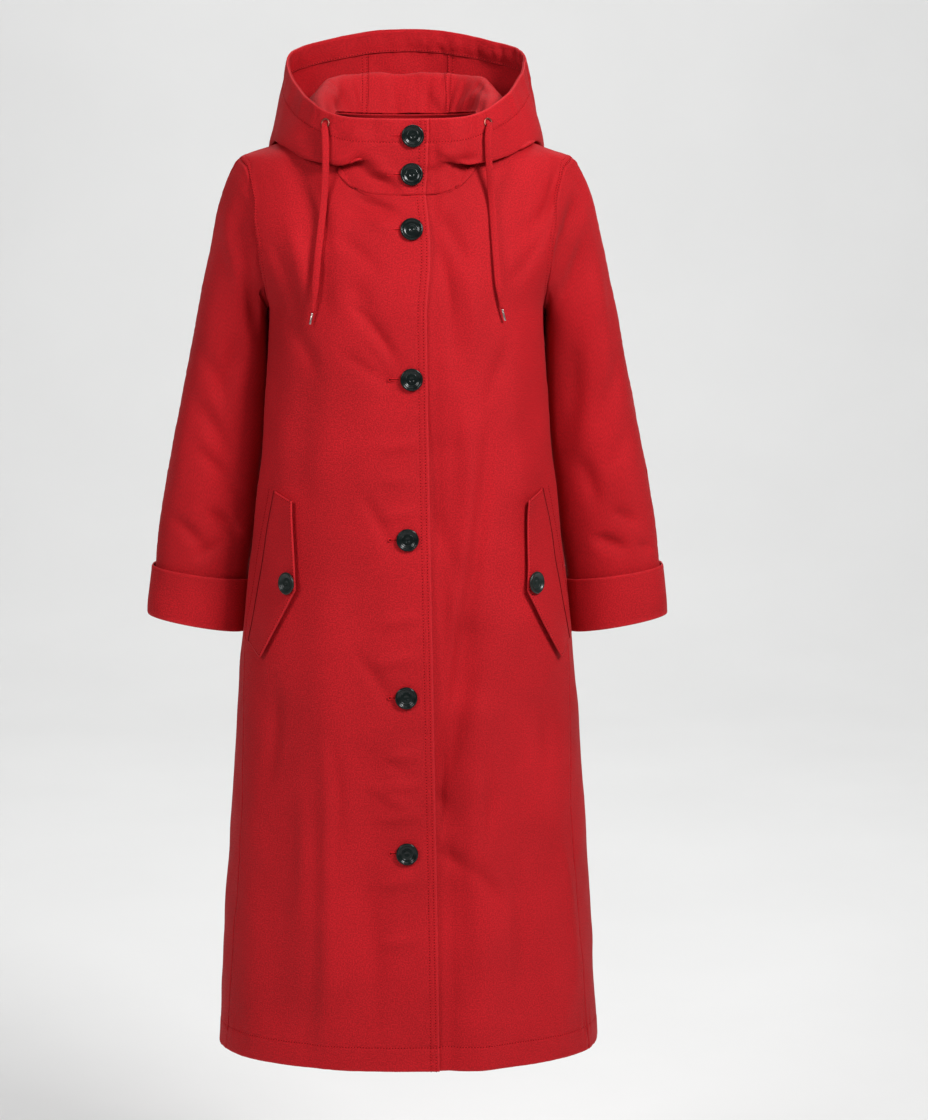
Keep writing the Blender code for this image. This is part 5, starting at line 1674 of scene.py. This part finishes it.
def sewn_rows(name, rows, pitch=STITCH_PITCH, size=STITCH_SIZE):
    """The stitches of one piece as one mesh, and the painted shade of the needle holes between them
    as another.
    """
    # The needle holes are dark spots of painted shade between the stitches.
    for kind, material, start, shape in (("stitches_", thread_red, 0.5, size),
                                         ("holes_", painted_shade, 0.0, NEEDLE_HOLE_SHADE)):
        laid = [row_places(points, out, pitch, start) for points, out in rows]
        places, along, up = (np.concatenate(part) for part in zip(*laid))
        placed(kind + name, stitch_copies(kind + name, places, along, up, shape), material)
    print(name, len(places), "stitches")


# %% Sew the body
arm_start = len(body_rows()[0]) / sum(len(part) for part in body_rows())
for side_name in SIDES:
    host = "front_" + side_name + "_cloth"
    sewn_rows("front_" + side_name, [
        stitch_line(host, "left", PLACKET_STITCH),
        stitch_line(host, "left", EDGE_STITCH),
        stitch_line(host, "bottom", HEM_STITCH),
        stitch_line(host, "right", ARMHOLE_STITCH, start=arm_start),
        stitch_line(host, "right", ARMHOLE_EDGE_STITCH, start=arm_start),
        stitch_line(host, "left", PLACKET_STITCH, inside=True),
        stitch_line(host, "bottom", HEM_STITCH, inside=True),
    ])
sewn_rows("back", [
    stitch_line("back_cloth", "bottom", HEM_STITCH),
    stitch_line("back_cloth", "bottom", HEM_STITCH, inside=True),
    stitch_line("back_cloth", "left", ARMHOLE_STITCH, start=arm_start),
    stitch_line("back_cloth", "right", ARMHOLE_STITCH, start=arm_start),
    stitch_line("back_cloth", "left", ARMHOLE_EDGE_STITCH, start=arm_start),
    stitch_line("back_cloth", "right", ARMHOLE_EDGE_STITCH, start=arm_start),
])

# %% Sew the hood
CHANNEL_EDGE_STITCH = 0.0020
for side_name in SIDES:
    host = "hood_" + side_name + "_cloth"
    rows = [stitch_line(host, "left", PLACKET_STITCH), stitch_line(host, "left", EDGE_STITCH),
            stitch_line(host, "top", CHANNEL_DEPTH)]
    for distance in GUSSET_STITCHES:
        rows.append(stitch_line(host, "right", distance))
        rows.append(stitch_line(host, "right", distance, inside=True))
    sewn_rows("hood_" + side_name, rows)
sewn_rows("hood_centre", [stitch_line("hood_centre_cloth", "top", CHANNEL_DEPTH)])
sewn_rows("hood_channel", [
    stitch_line("hood_channel_cloth", "bottom", CHANNEL_EDGE_STITCH, inside=True)])

# %% Sew the flaps and pockets
POCKET_STITCH = 0.0085
POCKET_STITCH_LIFT = 0.0002
FLAP_SEAM_SHADE_SHARE = 0.06
FLAP_SEAM_SHADE_LIFT = 0.0014
FLAP_SEAM_SHADE_PITCH = 0.0016
FLAP_SEAM_SHADE_SIZE = (0.0026, 0.0011, 0.0012)
for side_name in SIDES:
    host = "flap_" + side_name
    corner = {key: np.array(place) for key, place in zip(FLAP_CORNERS, FLAPS[host])}
    run = between(corner["seam_top"], corner["seam_low"], np.linspace(0.0, 1.0, 60)[:, None])
    away = POCKET_STITCH * SIDES[side_name]
    points, out = cloth_face(angle_at(run[:, 0] + away, run[:, 1]), run[:, 1])
    rows = [stitch_line(host + "_cloth", edge, FLAP_STITCH) for edge in ("right", "top", "bottom")]
    sewn_rows(host, rows + [(points + out * POCKET_STITCH_LIFT, out)])
    # A close row of painted shade lies along the flap's sewn edge, for the shadow in the seam's
    # ditch.
    points, out = cloth_face(angle_at(run[:, 0] + away * FLAP_SEAM_SHADE_SHARE, run[:, 1]), run[:, 1])
    places, along, up = row_places(points + out * FLAP_SEAM_SHADE_LIFT, out, FLAP_SEAM_SHADE_PITCH, 0.5)
    name = "seam_" + host
    placed(name, stitch_copies(name, places, along, up, FLAP_SEAM_SHADE_SIZE), painted_shade)

# %% Sew the drawstrings
CORD_STITCH_PITCH = 0.0030
CORD_STITCH_SIZE = (0.0020, 0.0005, 0.0004)
for side_name, (_, _, row) in drawstrings.items():
    sewn_rows("drawstring_" + side_name, [row], CORD_STITCH_PITCH, CORD_STITCH_SIZE)

# %% [markdown]
# A buttonhole is a slit with close stitches worked over both its edges. On the fronts it ends in a
# round eye, which gives the button's loop room, and on the hood it is straight. Only its end shows
# beside the button. The slit is a dark shape of painted shade laid on the cloth, which isn't cut.

# %% Work the buttonholes
HOLE_END = -0.0205
HOLE_START = 0.004
HOLE_REACH = 0.006
HOLE_SINK = 0.0002
HOLE_HALF_WIDTH = 0.0010
HOLE_EYE = 0.0019
HOLE_STITCH_PITCH = 0.00065
HOLE_STITCH_SIZE = (0.0016, 0.0007, 0.0006)
SLIT_WIDTH = 0.0012
SLIT_DEPTH = 0.0006
SLIT_EYE = 0.0026
SLIT_LIFT = 0.0001


def buttonhole_line(length, eye):
    """Places round a slit from x = 0 back to x = -length, with a round eye at its far end."""
    if eye:
        turn = np.radians(np.linspace(35, 325, 18))
        end = np.stack([HOLE_EYE - length + HOLE_EYE * np.cos(turn), HOLE_EYE * np.sin(turn)],
                       axis=-1)
    else:
        end = np.array([[-length, HOLE_HALF_WIDTH], [-length, -HOLE_HALF_WIDTH]])
    start = np.array([[0.0, HOLE_HALF_WIDTH]])
    line = np.concatenate([start, end, start * (1, -1)])
    line = np.concatenate([line, np.zeros((len(line), 1))], axis=1)
    return resampled(line, HOLE_STITCH_PITCH)


def work_buttonhole(node, cloth_name, x, z):
    """The stitches of one buttonhole, and the painted shade of its slit."""
    length = x - HOLE_END - HOLE_START
    place, out = front_spot(cloth_name, HOLE_END + length / 2, z, HOLE_REACH)
    matrix = facing(place - out * HOLE_SINK, out) @ Matrix.Translation((length / 2, 0.0, 0.0))
    eye = cloth_name.startswith("front")
    line = buttonhole_line(length, eye)
    across = np.cross(np.gradient(line, axis=0), (0.0, 0.0, 1.0))
    up = np.tile((0.0, 0.0, 1.0), (len(line), 1))
    mesh = stitch_copies("buttonhole_" + node, line, across, up, HOLE_STITCH_SIZE)
    mesh.transform(matrix)
    placed("buttonhole_" + node, mesh, thread_red)
    # The slit is painted shade: a dark shape on the uncut cloth.
    parts = 2 if eye else 1
    places = ((-length / 2, 0.0, SLIT_LIFT), (HOLE_EYE - length, 0.0, SLIT_LIFT))
    sizes = ((length, SLIT_WIDTH, SLIT_DEPTH), (SLIT_EYE, SLIT_EYE, SLIT_DEPTH))
    mesh = stitch_copies("slit_shade_" + node, places[:parts], ((1.0, 0.0, 0.0),) * parts, up[:parts],
                         sizes[:parts])
    mesh.transform(matrix)
    placed("slit_shade_" + node, mesh, painted_shade)


for node, cloth_name, x, z in BUTTONS:
    if "pocket" not in node:
        work_buttonhole(node, cloth_name, x, z)
print("buttonholes end at", HOLE_END * 1000, "mm")

# %% [markdown]
# It is measured on the sheet's own grid.


# %% [markdown]
# ## Studio
#
# The coat hangs in front of a pale paper sweep: a floor that curves up into a wall, so that no
# corner shows. Two soft lights stand left and right in front, the right one stronger, and a weak
# third hangs above them. Two more are aimed at the floor and the wall, to keep the paper pale. A
# faint world fills the shadows.

# %% Paper sweep
FLOOR = -1.55
SWEEP_RADIUS = 2.2
WALL_Y = 6.4
WALL_TOP = 4.5
SWEEP_FRONT = -6.0
SWEEP_LEFT = -7.0
bm = bmesh.new()
start = bm.verts.new((SWEEP_LEFT, SWEEP_FRONT, FLOOR))
corner = bm.verts.new((SWEEP_LEFT, WALL_Y - SWEEP_RADIUS, FLOOR))
bm.edges.new((start, corner))
bmesh.ops.spin(bm, geom=[corner], axis=(1, 0, 0), angle=math.pi / 2, steps=32,
               cent=(SWEEP_LEFT, WALL_Y - SWEEP_RADIUS, FLOOR + SWEEP_RADIUS))
bmesh.ops.remove_doubles(bm, verts=bm.verts, dist=0.0001)
upper = bm.verts.new((SWEEP_LEFT, WALL_Y, WALL_TOP))
bm.verts.ensure_lookup_table()
top = max((v for v in bm.verts if v is not upper), key=lambda v: v.co.z)
bm.edges.new((top, upper))
across = bmesh.ops.extrude_edge_only(bm, edges=bm.edges)
moved = [item for item in across["geom"] if isinstance(item, bmesh.types.BMVert)]
bmesh.ops.translate(bm, verts=moved, vec=(-2 * SWEEP_LEFT, 0.0, 0.0))
bmesh.ops.recalc_face_normals(bm, faces=bm.faces)
sweep = bpy.data.objects.new("paper_sweep", mesh_from(bm, "paper_sweep"))
sweep.data.materials.append(plain_finish("paper", (0.81, 0.81, 0.805), (0.79, 0.79, 0.785), 0.9,
                                         0.0, 2.0, 0.0002))
bpy.context.scene.collection.objects.link(sweep)
print("sweep", len(sweep.data.polygons), "faces")

# %% Lights
LIGHTS = (
    ("light_right", (1.60, -1.9, 1.35), (0.8, 0.9), 108.0),
    ("light_left", (-2.1, -2.4, 1.1), (0.8, 1.2), 56.0),
    ("light_above", (0.3, -1.9, 2.2), (1.6, 1.0), 10.0),
    ("light_floor", (0.0, 1.7, 2.6), (3.4, 0.8), 56.0),
    ("light_wall", (0.0, 3.6, 3.2), (5.0, 1.0), 122.0),
)
LIGHT_AIM = Vector((0.0, 0.0, -0.15))
BACKDROP_AIMS = {"light_floor": Vector((0.0, 1.0, FLOOR)),
                 "light_wall": Vector((0.0, 5.6, -0.8))}
WORLD_STRENGTH = 0.12
for name, place, size, power in LIGHTS:
    light = bpy.data.lights.new(name, "AREA")
    light.shape = "RECTANGLE"
    light.size, light.size_y = size
    light.energy = power
    holder = bpy.data.objects.new(name, light)
    holder.location = place
    aim = BACKDROP_AIMS.get(name, LIGHT_AIM)
    holder.rotation_euler = (aim - Vector(place)).to_track_quat("-Z", "Y").to_euler()
    bpy.context.scene.collection.objects.link(holder)

world = bpy.data.worlds.new("studio")
world.use_nodes = True
world.node_tree.nodes["Background"].inputs["Color"].default_value = (0.96, 0.98, 1.0, 1.0)
world.node_tree.nodes["Background"].inputs["Strength"].default_value = WORLD_STRENGTH
bpy.context.scene.world = world
bpy.context.scene.view_settings.view_transform = "Standard"
print(len(LIGHTS), "lights")
